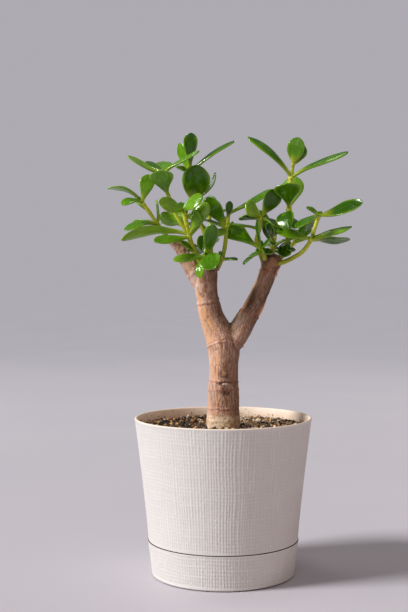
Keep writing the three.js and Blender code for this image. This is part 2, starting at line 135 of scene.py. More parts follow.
def noise_grid(seed, *axes):
    """Noise over a grid, from three coordinates that are spread to its shape."""
    grid = np.broadcast_arrays(*axes)
    return noise(np.stack([axis.ravel() for axis in grid], axis=1), seed).reshape(grid[0].shape)


def smoothstep(low, high, value):
    share = np.clip((value - low) / (high - low), 0, 1)
    return share * share * (3 - 2 * share)


def patches(place, cell, seed, low, high):
    """Ragged patches of 1 on 0: noise in cells of that size, eased from low to high."""
    return smoothstep(low, high, noise(place / np.array(cell), seed))


def most(*values):
    return np.maximum.reduce(values)


def hump(away, width):
    """A bell of height 1 and that half width."""
    return np.exp(-((away / width) ** 2))


def unit(vectors):
    return vectors / np.linalg.norm(vectors, axis=-1, keepdims=True)


def square_to(along, face):
    """Two directions square to `along`, the second as near as it can be to `face`."""
    face = np.broadcast_to(np.asarray(face, float), along.shape)
    up = unit(face - along * np.sum(face * along, axis=-1, keepdims=True))
    return np.cross(along, up), up


def turns(count):
    """Angles that divide a turn evenly."""
    return np.arange(count) * math.tau / count


def spokes(across, up, angle):
    """From each place on a line, the directions out at those angles."""
    return across[:, None] * np.cos(angle)[:, None] + up[:, None] * np.sin(angle)[:, None]


def tube(rings):
    """Points and outward faces of a closed skin over rings of points, from first to last."""
    count, sides, _ = rings.shape
    points = np.concatenate([rings.reshape(-1, 3), [rings[0].mean(0), rings[-1].mean(0)]])
    low, high = count * sides, count * sides + 1
    faces = []
    for i in range(sides):
        j = (i + 1) % sides
        faces.append((low, j, i))
        faces.append((high, (count - 1) * sides + i, (count - 1) * sides + j))
        for row in range(count - 1):
            a, b = row * sides + i, row * sides + j
            faces.append((a, b, b + sides, a + sides))
    volume = 0
    for face in faces:
        a = points[face[0]]
        for b, c in zip(face[1:], face[2:]):
            volume += np.dot(a, np.cross(points[b], points[c]))
    return points, faces if volume > 0 else [face[::-1] for face in faces]


def colour(*channels):
    """One colour layer of four channels, each a number or an array."""
    size = max(np.size(channel) for channel in channels)
    return np.stack([np.broadcast_to(np.asarray(c, float), size) for c in channels], axis=1)


def surface(mesh, material, layers, smooth=True):
    """Gives a mesh its colour layers, its shading and its material."""
    for name, values in layers.items():
        made = mesh.attributes.new(name, "FLOAT_COLOR", "POINT")
        made.data.foreach_set("color", values.astype(np.float32).ravel())
    mesh.polygons.foreach_set("use_smooth", [smooth] * len(mesh.polygons))
    mesh.materials.clear()
    mesh.materials.append(material)
    mesh.update()


class Skin:
    """Points, faces and colour layers of a mesh that is put together from several bodies."""

    def __init__(self):
        self.points, self.faces, self.layers, self.count = [], [], {}, 0

    def add(self, points, faces, **layers):
        self.points.append(points)
        self.faces += [tuple(i + self.count for i in face) for face in faces]
        for name, values in layers.items():
            self.layers.setdefault(name, []).append(values)
        self.count += len(points)
        return self

    def build(self, name, material, smooth=True):
        mesh = bpy.data.meshes.new(name)
        mesh.from_pydata((np.concatenate(self.points) * MM).tolist(), [], self.faces)
        layers = {layer: np.concatenate(values) for layer, values in self.layers.items()}
        surface(mesh, material, layers, smooth)
        return placed(name, mesh)


def changed(piece):
    """The piece's mesh as its modifiers make it."""
    bpy.context.view_layer.update()
    graph = bpy.context.evaluated_depsgraph_get()
    return bpy.data.meshes.new_from_object(piece.evaluated_get(graph))


def dress(piece, slot, *nodes):
    """The piece rides with the pot and stands for the nodes; the slot is not used."""
    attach(piece, BODY)
    if nodes:
        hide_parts(*nodes)


# --------------------------------------------------------------- materials


class Shader:
    """A Principled material, its base colour laid on in coats, and short ways to add nodes."""

    def __init__(self, name, roughness, specular, others=None):
        self.material = bpy.data.materials.new(name)
        self.material.use_nodes = True
        self.nodes = self.material.node_tree.nodes
        self.out = self.nodes["Principled BSDF"]
        fixed = {"Roughness": roughness, "Specular IOR Level": specular, **(others or {})}
        for socket, value in fixed.items():
            self.out.inputs[socket].default_value = value
        self.place = self.node("TexCoord", {}).outputs["Object"]
        self.base = None

    def feed(self, socket, value):
        if isinstance(value, bpy.types.NodeSocket):
            self.material.node_tree.links.new(value, socket)
        else:
            socket.default_value = value

    def node(self, kind, inputs, **settings):
        made = self.nodes.new("ShaderNode" + kind)
        for key, value in settings.items():
            setattr(made, key, value)
        for socket, value in inputs.items():
            self.feed(made.inputs[socket], value)
        return made

    def maths(self, operation, a, b=0.0):
        return self.node("Math", {0: a, 1: b}, operation=operation).outputs[0]

    def times(self, a, b):
        return self.maths("MULTIPLY", a, b)

    def ramp(self, value, low, high, start=0.0, end=1.0):
        """Value from low to high becomes start to end, eased and held outside."""
        inputs = {"Value": value, "From Min": low, "From Max": high, "To Min": start, "To Max": end}
        return self.node("MapRange", inputs, interpolation_type="SMOOTHSTEP").outputs["Result"]

    def noise(self, scale, detail=3, place=None):
        """Cloudy values about 0.5, with scale in cells to a metre."""
        inputs = {"Scale": scale, "Detail": detail, "Vector": place or self.place}
        return self.node("TexNoise", inputs).outputs["Fac"]

    def cloud(self, scale, detail, low, high, start=0.0, end=1.0, place=None):
        """The noise of that scale and detail, put through a ramp."""
        return self.ramp(self.noise(scale, detail, place), low, high, start, end)

    def lines(self, scale, width, place):
        """1 where the noise of that scale passes its middle, 0 beyond a width from it."""
        away = self.maths("SUBTRACT", self.noise(scale, 2, place), 0.5)
        return self.ramp(self.maths("ABSOLUTE", away), width, 0)

    def spots(self, scale):
        """Distance to the nearest of scattered points, with scale in points to a metre."""
        return self.node("TexVoronoi", {"Scale": scale, "Vector": self.place}).outputs["Distance"]

    def layer(self, name):
        """The four channels of a mesh's colour layer, and its colour."""
        made = self.node("Attribute", {}, attribute_name=name)
        split = self.node("SeparateColor", {"Color": made.outputs["Color"]})
        return (*split.outputs, made.outputs["Alpha"], made.outputs["Color"])

    def mix(self, share, a, b, blend="MIX"):
        a, b = [c if isinstance(c, bpy.types.NodeSocket) else (*c, 1) for c in (a, b)]
        made = self.node("Mix", {0: share, 6: a, 7: b}, data_type="RGBA", blend_type=blend)
        return made.outputs[2]

    def coat(self, share, tone, blend="MIX"):
        """Lays a tone on the base colour, as thick as the share."""
        self.base = self.mix(share, self.base, tone, blend)

    def shades(self, value, *colours):
        """The colours in turn as the value goes from 0 to 1."""
        made = self.node("ValToRGB", {"Fac": value})
        stops = made.color_ramp.elements
        for number, tone in enumerate(colours):
            place = number / (len(colours) - 1)
            stop = stops[number] if number < 2 else stops.new(place)
            stop.position = place
            stop.color = (*tone, 1)
        return made.outputs["Color"]

    def bump(self, height, depth, after=None):
        """Height from 0 to 1 becomes relief, with depth in millimetres."""
        inputs = {"Distance": depth * MM, "Height": height}
        if after is not None:
            inputs["Normal"] = after
        return self.node("Bump", inputs).outputs["Normal"]

    def finish(self, roughness=None, normal=None):
        values = {"Base Color": self.base, "Roughness": roughness, "Normal": normal}
        for socket, value in values.items():
            if value is not None:
                self.feed(self.out.inputs[socket], value)
        return self.material


def planter_material():
    """Off-white moulded plastic, faintly mottled, beige inside with soil stain; painted shade
    darkens the gaps of the weave and the foot, and the seam is darker.
    """
    s = Shader("planter", 0.5, 0.4)
    stain, groove_shade, inner, dark_seam_and_foot_shade, _ = s.layer("wear")
    s.base = s.mix(s.cloud(60, 3, 0.35, 0.65), (0.795, 0.735, 0.69), (0.81, 0.75, 0.71))
    # Painted shade in the gaps between the threads of the weave.
    s.coat(s.times(groove_shade, 0.35), (0.47, 0.39, 0.35))
    s.coat(inner, (0.95, 0.74, 0.58))
    s.coat(s.times(stain, s.cloud(350, 5, 0.3, 0.7, 0.35)), (0.52, 0.31, 0.17))
    # A darker seam, and painted contact shade along the foot.
    s.coat(dark_seam_and_foot_shade, (0.09, 0.048, 0.026))
    fine = s.bump(s.noise(2600, 2), 0.05)
    return s.finish(s.cloud(300, 3, 0.3, 0.7, 0.45, 0.6), fine)


def soil_material():
    """Damp dark earth with browner crumbs in it."""
    s = Shader("soil", 0.95, 0.2)
    s.base = s.mix(s.cloud(500, 5, 0.4, 0.6), (0.02, 0.015, 0.012), (0.12, 0.075, 0.045))
    s.coat(s.cloud(180, 4, 0.55, 0.7), (0.26, 0.15, 0.075))
    return s.finish(None, s.bump(s.noise(1500, 4), 0.5))


def grit_material():
    """Loose grains: each has its own colour in the layer, broken up by finer specks."""
    s = Shader("grit", 0.82, 0.3)
    s.base = s.layer("grain")[4]
    s.coat(s.cloud(1800, 3, 0.35, 0.65, 0, 0.45), (0.04, 0.032, 0.028))
    return s.finish(None, s.bump(s.noise(2500, 3), 0.15))


def bark_material():
    """Thin jade bark: pinkish tan with fine upright lines, ring scars, wounds and a pale foot, with
    painted light and shade across the limbs.
    """
    s = Shader("bark", 0.6, 0.22)
    ring, crack, warm_and_lit, dark, _ = s.layer("bark")
    foot, smooth, pink, orange, _ = s.layer("tone")
    _, _, _, side, flow = s.layer("flow")
    s.base = s.mix(s.cloud(110, 4, 0.36, 0.64), (0.5, 0.23, 0.134), (0.69, 0.372, 0.238))
    s.coat(s.cloud(300, 3, 0.45, 0.65, 0, 0.7, flow), (0.43, 0.2, 0.095))
    s.coat(s.times(s.lines(1000, 0.06, flow), 0.5), (0.15, 0.062, 0.042))
    pale = s.lines(620, 0.05, flow)
    s.coat(s.times(pale, 0.75), (0.82, 0.61, 0.5))
    brown = s.mix(s.cloud(55, 3, 0.4, 0.6), (0.085, 0.036, 0.019), (0.19, 0.095, 0.056))
    brown = s.mix(s.cloud(430, 4, 0.46, 0.62, 0, 0.6), brown, (0.34, 0.15, 0.058))
    s.coat(s.times(smooth, 0.8), brown)
    s.coat(s.times(pale, 0.35), (0.78, 0.56, 0.45))
    s.coat(orange, (0.92, 0.42, 0.16))
    # Pale pink of the wound's lens and of peeling skin, which on the left limb also paints a
    # highlight.
    s.coat(pink, (0.86, 0.58, 0.47))
    # Orange of the eye and a chipped spot, and a painted pool of light on the left limb.
    s.coat(warm_and_lit, (0.72, 0.35, 0.15))
    s.coat(s.times(crack, 0.5), (0.14, 0.062, 0.042))
    s.coat(s.times(ring, 0.8), (0.4, 0.135, 0.1))
    cream = s.mix(s.cloud(420, 4, 0.48, 0.7), (0.95, 0.7, 0.47), (0.4, 0.19, 0.08))
    cream = s.mix(s.cloud(170, 3, 0.52, 0.66, 0, 0.8), cream, (0.7, 0.34, 0.13))
    s.coat(foot, cream)
    # Painted light and shade: paler on the lit left, darker on the shaded right.
    s.coat(s.ramp(side, 0.4, 0, 0, 0.3), (0.87, 0.6, 0.47))
    s.coat(s.ramp(side, 0.5, 1), (0.5, 0.47, 0.44), "MULTIPLY")
    # Dark cut, wound and twig gaps, and painted shade on the right limb's top.
    s.coat(dark, (0.04, 0.014, 0.014))
    relief = s.bump(s.noise(800, 3, flow), 0.3)
    relief = s.bump(s.noise(1500, 4), 0.12, relief)
    return s.finish(s.cloud(350, 4, 0.3, 0.7, 0.42, 0.65), relief)


LEAF_GLOSS = {
    "Specular Tint": (0.85, 1, 0.55, 1),
    "Coat Weight": 0.4,
    "Coat Roughness": 0.09,
    "Subsurface Weight": 0.12,
    "Subsurface Radius": (0.5, 1, 0.1),
    "Subsurface Scale": 0.0012,
}
# The colours of the leaves' two sides, from old to young.
LEAF_BELOW = (0.023, 0.074, 0), (0.066, 0.197, 0), (0.143, 0.33, 0.001), (0.205, 0.41, 0.015)
LEAF_ABOVE = (0.015, 0.053, 0), (0.052, 0.158, 0.001), (0.135, 0.32, 0.004), (0.255, 0.44, 0.03)
FOLD_CELLS = (3.2, 2.6, 57)  # along a leaf, out to its edge, and from one leaf to another


def leaf_material():
    """Glossy leaves, mottled, with painted light and shade in streaks along the blade as on its
    folds, a lime petiole, a paler rim and pores.
    """
    s = Shader("leaf", 0.2, 0.3, LEAF_GLOSS)
    tint, along, edge, upper, _ = s.layer("leaf")
    s.base = s.mix(upper, s.shades(tint, *LEAF_BELOW), s.shades(tint, *LEAF_ABOVE))
    s.coat(s.cloud(160, 4, 0.35, 0.65, 0, 0.35), (0.62, 0.72, 0.5), "MULTIPLY")
    blade = [s.times(value, cells) for value, cells in zip((along, edge, tint), FOLD_CELLS)]
    folds_and_shade = s.noise(1, 3, s.node("CombineXYZ", dict(enumerate(blade))).outputs["Vector"])
    # Painted shade and light in streaks along the blade, as on its folds; the same streaks give a
    # faint relief.
    s.coat(s.ramp(folds_and_shade, 0.42, 0.66, 0, 0.5), (0.56, 0.64, 0.45), "MULTIPLY")
    s.coat(s.ramp(folds_and_shade, 0.44, 0.26, 0, 0.3), (0.26, 0.46, 0.02))
    petiole = s.ramp(along, 0.4, 0.02, 0, 0.9)
    s.coat(petiole, (0.44, 0.5, 0.02))
    rim = s.ramp(edge, 0.72, 1, 0, 0.6)
    s.coat(rim, (0.24, 0.4, 0.015))
    pores = s.ramp(s.spots(1100), 0.16, 0.05, 0, 0.22)
    s.coat(pores, (0.26, 0.4, 0.08))
    relief = s.bump(folds_and_shade, 0.5, s.bump(s.noise(450, 3), 0.15))
    return s.finish(s.cloud(240, 3, 0.3, 0.7, 0.12, 0.25), relief)


def stem_material():
    """Fleshy stems: lime by the young leaves, olive lower down, tan where the bark begins."""
    s = Shader("stem", 0.38, 0.35)
    tint, age, ring, _, _ = s.layer("stem")
    flow = s.layer("flow")[4]
    young = s.mix(tint, (0.58, 0.63, 0.025), (0.7, 0.71, 0.055))
    old = s.mix(tint, (0.33, 0.39, 0.013), (0.43, 0.46, 0.024))
    s.base = s.mix(s.ramp(age, 0.25, 0.8), young, old)
    s.coat(s.ramp(age, 0.88, 1, 0, 0.85), (0.42, 0.2, 0.09))
    s.coat(s.times(s.lines(700, 0.06, flow), 0.3), (0.16, 0.2, 0.005))
    s.coat(s.times(ring, 0.5), (0.24, 0.15, 0.02))
    return s.finish(None, s.bump(s.noise(900, 3), 0.1))


# ------------------------------------------------------------ pot and saucer

AROUND = 760  # points round the pot
POT_ROWS = 100
SAUCER_ROWS = 38
THREADS = 176  # upright threads of the woven relief
THREAD_PITCH = 3.1
THREAD_DEPTH = 0.45
LIP_STEPS = 7
BORE_SIDES = 24
SEAM_EDGE = 0.35  # how far the rounded edges at the seam reach


def pot_radius(height):
    share = (height - SEAM_HEIGHT) / (RIM_HEIGHT - SEAM_HEIGHT)
    return POT_SEAM_RADIUS + (RIM_RADIUS - POT_SEAM_RADIUS) * max(share, 0) ** POT_FLARE


def saucer_radius(height):
    share = (height - FOOT_ROUND) / (SEAM_HEIGHT - FOOT_ROUND)
    return SAUCER_LOW_RADIUS + (SAUCER_RIM_RADIUS - SAUCER_LOW_RADIUS) * share


def spigot_radius(height):
    return saucer_radius(height) - WALL - SPIGOT_CLEARANCE


def weave(angle, height, seed):
    """Depth, from 0 in the gaps to 1 on a thread, of a canvas pressed into the wall."""
    across = angle * THREADS / math.tau
    upward = height / THREAD_PITCH
    drift = (across / 9, upward / 9, seed)
    across = across + 0.2 * noise_grid(1, *drift) + 0.45 * noise_grid(6, across / 2.6, 0, seed)
    upward = upward + 0.3 * noise_grid(2, *drift)
    warp = noise_grid(3, np.round(across) * 1.37, np.round(upward) // 7 * 1.37, 0)
    weft = noise_grid(4, 0, np.round(upward) * 1.53, np.round(across) // 9 * 1.53)
    over = np.cos(math.pi * across) * np.cos(math.pi * upward)
    upright = np.cos(math.pi * across) ** 2 * (0.72 + 0.28 * over + 0.3 * warp)
    level = np.cos(math.pi * upward) ** 2 * (0.58 - 0.28 * over + 0.3 * weft)
    return np.clip(np.maximum(upright, level), 0, 1.15)


def turned(profile, around):
    """Points in rows, one row to each (radius, height) of the profile, and their angles."""
    angle = turns(around)
    radius, height = np.array(profile, float).T
    x = radius[:, None] * np.cos(angle)
    y = radius[:, None] * np.sin(angle)
    return np.stack(np.broadcast_arrays(x, y, height[:, None]), axis=2), angle


def woven_wall(rows, angle, low, high, seed):
    """Moves the rows of a wall inwards between its threads, less towards its edges."""
    count, around, _ = rows.shape
    height = rows[:, :, 2].ravel()
    depth = weave(np.tile(angle, count), height, seed)
    inside = smoothstep(0, 1.6, height - low) * smoothstep(0, 1.6, high - height)
    moved = ((depth - 1) * inside * THREAD_DEPTH).reshape(count, around)
    rows[:, :, 0] += moved * np.cos(angle)
    rows[:, :, 1] += moved * np.sin(angle)
    return (1 - depth) * inside


def steps(start, end, count):
    return np.linspace(start, end, count + 1)


def arc(centre, radius, start, end, count):
    """(radius, height) points on part of a turn of a rounded edge, in degrees."""
    angles = [math.radians(degrees) for degrees in np.linspace(start, end, count)]
    return [(centre[0] + radius * math.cos(a), centre[1] + radius * math.sin(a)) for a in angles]


def lathe(name, material, before, wall, after, seed):
    """A closed body turned from an outline that starts and ends near the axis: the part
    before its woven wall, the wall from low to high, and the part after it."""
    rows, angle = turned(before + wall + after, AROUND)
    first, last = len(before), len(before) + len(wall)
    rough = woven_wall(rows[first:last], angle, wall[0][1], wall[-1][1], seed)
    points, faces = tube(rows)
    groove_shade = np.zeros(len(points))
    groove_shade[first * AROUND : last * AROUND] = rough
    row = np.arange(len(points)) // AROUND
    inner = (row > last) & (row < len(rows))
    blot = 3.2 * noise(points / (14, 14, 9), seed + 1) + 1.2 * noise(points / 4, seed + 2)
    stain = inner * smoothstep(SOIL_HEIGHT + 8, SOIL_HEIGHT - 1, points[:, 2] + blot)
    # The seam is darkened, and painted shade lies a little where the foot meets the table.
    seam = np.abs(points[:, 2] - SEAM_HEIGHT + 0.1) < SEAM_EDGE
    dark_seam_and_foot_shade = np.maximum(seam, 0.7 * smoothstep(1, 0.3, points[:, 2]))
    wear = colour(stain, groove_shade, inner, dark_seam_and_foot_shade)
    return Skin().add(points, faces, wear=wear).build(name, material)


def bored(piece, centres, radius, low, high):
    """The piece with upright round holes through it."""
    bores = Skin()
    angle = turns(BORE_SIDES)
    for x, y in centres:
        ring = np.stack([x + radius * np.cos(angle), y + radius * np.sin(angle)], axis=1)
        bores.add(*tube(np.stack([np.insert(ring, 2, z, axis=1) for z in (low, high)])))
    tool = bores.build(piece.name + "_bores", piece.data.materials[0])
    cut = piece.modifiers.new("drains", "BOOLEAN")
    cut.operation = "DIFFERENCE"
    cut.solver = "MANIFOLD"
    cut.object = tool
    mesh = changed(piece)
    piece.modifiers.clear()
    piece.data = mesh
    bpy.data.objects.remove(tool)
    return piece


def make_pot(material):
    lip = WALL / 2
    floor = SPIGOT_BOTTOM + WALL
    before = [
        (1, SPIGOT_BOTTOM),
        (spigot_radius(SPIGOT_BOTTOM) - SPIGOT_CHAMFER, SPIGOT_BOTTOM),
        (spigot_radius(SPIGOT_BOTTOM), SPIGOT_BOTTOM + SPIGOT_CHAMFER),
        (spigot_radius(SEAM_HEIGHT), SEAM_HEIGHT),
        (POT_SEAM_RADIUS - 0.45, SEAM_HEIGHT),
        (POT_SEAM_RADIUS - 0.12, SEAM_HEIGHT + 0.1),
    ]
    wall = [(pot_radius(z), z) for z in steps(SEAM_HEIGHT + SEAM_EDGE, RIM_HEIGHT - lip, POT_ROWS)]
    after = [
        *arc((RIM_RADIUS - lip, RIM_HEIGHT - lip), lip, 15, 165, LIP_STEPS),
        *[(pot_radius(z) - WALL, z) for z in steps(RIM_HEIGHT - lip, SEAM_HEIGHT + LEDGE_HIGH, 9)],
        (spigot_radius(SEAM_HEIGHT) - WALL, SEAM_HEIGHT + LEDGE_LOW),
        (spigot_radius(floor) - WALL, floor),
        (1, floor),
    ]
    pot = lathe("planter_pot", material, before, wall, after, 5)
    drains = [(DRAIN_CIRCLE * math.cos(a), DRAIN_CIRCLE * math.sin(a)) for a in turns(DRAIN_COUNT)]
    return bored(pot, drains, DRAIN_RADIUS, SPIGOT_BOTTOM - 1, floor + 1)


def make_saucer(material):
    rim = SEAM_HEIGHT - GAP
    corner = SAUCER_FLOOR + SAUCER_CORNER
    foot = SAUCER_LOW_RADIUS - SAUCER_FOOT_RADIUS
    before = [
        (1, 0),
        (SAUCER_FOOT_RADIUS, 0),
        *arc((SAUCER_FOOT_RADIUS, FOOT_ROUND), foot, -72, -12, 5),
    ]
    wall = [(saucer_radius(z), z) for z in steps(FOOT_ROUND, rim - SEAM_EDGE, SAUCER_ROWS)]
    after = [
        (saucer_radius(rim) - 0.12, rim - 0.1),
        (saucer_radius(rim) - 0.45, rim),
        (saucer_radius(rim) - WALL, rim),
        (saucer_radius(corner) - WALL, corner),
        (saucer_radius(SAUCER_FLOOR) - WALL - SAUCER_CORNER, SAUCER_FLOOR),
        (1, SAUCER_FLOOR),
    ]
    return lathe("planter_saucer", material, before, wall, after, 11)


# --------------------------------------------------------------------- soil

CLODS = ((0.8, 5, 21), (0.6, 2.1, 22), (0.35, 1.1, 23))  # height, width and seed
GRAIN_COUNT = 3600
# The darker mix on the left is painted shade and the paler mix on the right painted light, over the
# grains' own colours.
GRAIN_COLOURS = [  # share of the grains on the left and on the right, darkest and lightest
    (0.52, 0.20, (0.012, 0.010, 0.010), (0.070, 0.054, 0.046)),
    (0.20, 0.06, (0.090, 0.045, 0.022), (0.240, 0.125, 0.060)),
    (0.25, 0.34, (0.500, 0.210, 0.060), (0.880, 0.500, 0.200)),
    (0.03, 0.40, (0.760, 0.570, 0.370), (1.000, 0.870, 0.660)),
]
CLINGING = 25  # one grain in so many clings to the wall
GOLDEN = (1 + math.sqrt(5)) / 2
ICOSAHEDRON = [
    corner[i:] + corner[:i]
    for i in (0, 2, 1)
    for corner in [(s, t * GOLDEN, 0) for s in (-1, 1) for t in (-1, 1)]
]


def soil_height(x, y):
    broad = np.sin(math.tau * x / SOIL_SWELLS[0]) * np.cos(math.tau * y / SOIL_SWELLS[1])
    fine = np.sin(math.tau * (x / SOIL_RIPPLES[0] + y / SOIL_RIPPLES[1]))
    return SOIL_HEIGHT + SOIL_RELIEF * (broad + fine) / 2


def make_soil(material):
    """The earth as one closed body, with clods on top and a socket for the trunk."""
    bore = TRUNK_RADIUS * (1 + BARK_LOBE_DEPTH) + GAP
    edge = pot_radius(SOIL_HEIGHT) - WALL - GAP
    low = SPIGOT_BOTTOM + WALL + GAP
    heights = steps(SEAM_HEIGHT + LEDGE_HIGH, SOIL_HEIGHT - 1, 8)
    sides = [(pot_radius(z) - WALL - GAP, z) for z in heights]
    top = [(radius, SOIL_HEIGHT) for radius in steps(edge - 0.4, bore, 64)]
    profile = [
        (1, low),
        (spigot_radius(low) - WALL - GAP, low),
        (spigot_radius(SEAM_HEIGHT) - WALL - GAP, SEAM_HEIGHT + LEDGE_LOW),
        *sides,
        *top,
        (bore, TRUNK_BOTTOM - GAP),
        (1, TRUNK_BOTTOM - GAP),
    ]
    rows, _ = turned(profile, 320)
    first = profile.index(top[0])
    x, y, _ = np.moveaxis(rows[first : first + len(top)], 2, 0)
    clods = sum(high * noise_grid(seed, x / wide, y / wide, 0) for high, wide, seed in CLODS)
    rows[first : first + len(top), :, 2] = soil_height(x, y) + clods
    return Skin().add(*tube(rows)).build("soil_bed", material)


def rock(rng, size):
    """An angular stone: an icosahedron with its corners pushed in and out."""
    corners = unit(np.array(ICOSAHEDRON)) * rng.uniform(0.72, 1.15, (12, 1))
    corners = corners * rng.uniform(0.65, 1.15, 3)
    w, x, y, z = unit(rng.normal(size=4))
    rotation = np.array(
        [
            [1 - 2 * (y * y + z * z), 2 * (x * y - z * w), 2 * (x * z + y * w)],
            [2 * (x * y + z * w), 1 - 2 * (x * x + z * z), 2 * (y * z - x * w)],
            [2 * (x * z - y * w), 2 * (y * z + x * w), 1 - 2 * (x * x + y * y)],
        ]
    )
    return corners @ rotation.T * size


def rock_faces():
    """The twenty faces of rock()'s twelve corners, facing out."""
    hull = bmesh.new()
    made = [hull.verts.new(corner) for corner in ICOSAHEDRON]
    bmesh.ops.convex_hull(hull, input=made)
    hull.verts.index_update()
    faces = []
    for face in hull.faces:
        order = [v.index for v in face.verts]
        if face.normal.dot(face.calc_center_median()) < 0:
            order.reverse()
        faces.append(tuple(order))
    hull.free()
    return faces


def make_grit(material, seed):
    """Loose grains on the soil, and a few that cling to the wall above it."""
    rng = np.random.default_rng(seed)
    faces = rock_faces()
    edge = pot_radius(SOIL_HEIGHT) - WALL
    shares = np.cumsum([grain[:2] for grain in GRAIN_COLOURS], axis=0)
    skin = Skin()
    for number in range(GRAIN_COUNT):
        size = min(0.55 + rng.exponential(0.5), 2.4)
        angle = rng.uniform(0, math.tau)
        if number % CLINGING == 0:
            size *= 0.65
            height = SOIL_HEIGHT + 0.5 + min(rng.exponential(2.4), 7)
            radius = pot_radius(height) - WALL - size * 0.5
        else:
            radius = math.sqrt(rng.uniform((TRUNK_RADIUS + 1.5) ** 2, (edge - size - 0.5) ** 2))
            height = soil_height(radius * math.cos(angle), radius * math.sin(angle))
            height += rng.uniform(-0.1, 0.75) * size
        centre = (radius * math.cos(angle), radius * math.sin(angle), height)
        # Which side a grain lies on: darker as painted shade on the left, paler as painted light on
        # the right.
        right = int(centre[0] > rng.normal() * 12)
        kind = int(np.searchsorted(shares[:, right], rng.uniform(0, 0.9999)))
        dark, light = np.array(GRAIN_COLOURS[kind][2:])
        own = dark + (light - dark) * rng.uniform()
        points = rock(rng, size) + centre
        skin.add(points, faces, grain=colour(*[np.full(len(points), c) for c in own], 1))
    return skin.build("grit", material, smooth=False)


# -------------------------------------------------------------------- trunk

# Woody limbs as (x, y, z, radius) from the bottom up. Bulges are old leaf rings.
TRUNK = [
    (0, 0, TRUNK_BOTTOM, 12.5), (0, 0, TRUNK_BOTTOM + 5, 15), (0, 0, SOIL_HEIGHT, TRUNK_RADIUS),
    (-0.2, 0, 145, 14.9), (-0.2, 0, 149, 14.3), (-0.2, 0, 169, 14.1), (0, 0, 174, 13.6),
    (0.3, 0, 190, 13.3), (0.6, 0, 203, 14.2), (-0.5, 0, 210, 14.4), (-5, -0.5, 221, 12.4),
    (-10.5, -1, 234, 10.8), (-12.3, -1.5, 241, 10.5), (-14, -2, 249, 9.9), (-16, -3, 262, 10.3),
    (-15.2, -3, 273, 9.6), (-14.6, -3, 279, 7.6), (-14.4, -3, 281.5, 3.5),
]
RIGHT_LIMB = [
    (1, 0, 200, 8), (7, 0, 209, 11), (16, 0.5, 221, 10.4), (21, 0.8, 230, 9.6),
    (25.5, 1, 238, 8.9), (29.5, 1.3, 246, 8.5), (33, 1.5, 253.5, 8), (37.5, 1.8, 265, 8),
    (41, 2, 275, 8.4), (43.5, 2, 283, 8.9), (44.2, 2, 287, 7.2), (44.4, 2, 289, 3.2),
]
LEFT_TWIG = [
    (-16, -3, 257, 7), (-22, -3, 266, 8), (-29, -3, 276, 6.8), (-34, -3, 285, 5.9),
    (-38, -3, 292, 4.9), (-43, -3, 296.5, 3.9), (-48, -3.5, 300, 2.6),
]
LIMBS = (TRUNK, RIGHT_LIMB, LEFT_TWIG)
LIMB_FACE = (0, -1, 0)
LIMB_SIDES = 72
LIMB_STEP = 1.2
BARK_VOXEL = 0.58
REACH_STEP = 0.8  # between the places on the middle lines that the bark is measured from
BLOCK = 20000  # points that are measured at a time
# Where the limbs part, as middle and half size: the wood is smoothed more there.
FORK = (6, 0, 216), (13, 16, 14)
JOINT = (-21, -3, 262), (9, 10, 12)
SMOOTHING_ROUNDS = 24

# Old leaf rings: limb, height of its middle, tilt across the limb, how far it stands out
# (negative: a groove), half width, and how red it is.
RINGS = [
    (0, 139.5, 0.2, 0.3, 1.2, 0.2),
    (0, 146.8, 0.3, -0.35, 0.45, 1),
    (0, 148.5, 0.3, 0.35, 1.2, 0.3),
    (0, 166.5, 0.2, 0.4, 0.8, 0.7),
    (0, 173, -0.2, 0.5, 0.9, 1),
    (0, 243.5, 0.5, -0.45, 0.6, 0.6),
    (0, 245.5, 0.5, 0.45, 1.2, 0.3),
    (0, 264, 1, 0.25, 1, 0.3),
    (1, 233.5, 0.4, 0.55, 0.9, 0.5),
    (1, 235.5, 0.4, -0.45, 0.5, 0.9),
    (1, 256, 0.5, 0.2, 0.9, 0.2),
    (1, 272.5, 0.4, 0.5, 0.9, 0.5),
    (1, 274.5, 0.4, -0.45, 0.5, 1),
    (2, 271, 0.5, 0.35, 0.9, 0.5),
    (2, 283, 0.5, 0.3, 0.8, 0.5),
    (2, 291, 0.3, 0.25, 0.7, 0.4),
]
# Pale scars of fallen leaves near the top of the right limb.
LEAF_SCARS = (38, -6.5, 272), (42.5, -6, 277), (35.5, -6, 263), (27, -7, 243)


def eased(stations, step):
    """Stations every step along a limb, through the given ones."""
    known = np.array(stations, float)
    reach = np.concatenate([[0], np.cumsum(np.linalg.norm(np.diff(known[:, :3], axis=0), axis=1))])
    slope = np.gradient(known, reach, axis=0)
    at = np.linspace(0, reach[-1], int(reach[-1] / step) + 1)
    i = np.clip(np.searchsorted(reach, at, side="right") - 1, 0, len(reach) - 2)
    span = (reach[i + 1] - reach[i])[:, None]
    t = (at[:, None] - reach[i][:, None]) / span
    return (
        known[i] * (1 + 2 * t) * (1 - t) ** 2
        + known[i + 1] * t**2 * (3 - 2 * t)
        + slope[i] * span * t * (1 - t) ** 2
        + slope[i + 1] * span * t**2 * (t - 1)
    )


def limb_frame(stations):
    """Directions across, to the front of and along a limb, at each of its stations."""
    along = unit(np.gradient(stations[:, :3], axis=0))
    return (*square_to(along, LIMB_FACE), along)


def limb_rings(stations):
    across, up, _ = limb_frame(stations)
    angle = turns(LIMB_SIDES)
    lobe = np.sin(BARK_LOBES * angle + BARK_TWIST * stations[:, 2:3])
    radius = stations[:, 3:] * (1 + BARK_LOBE_DEPTH * lobe)
    return stations[:, None, :3] + spokes(across, up, angle) * radius[:, :, None]


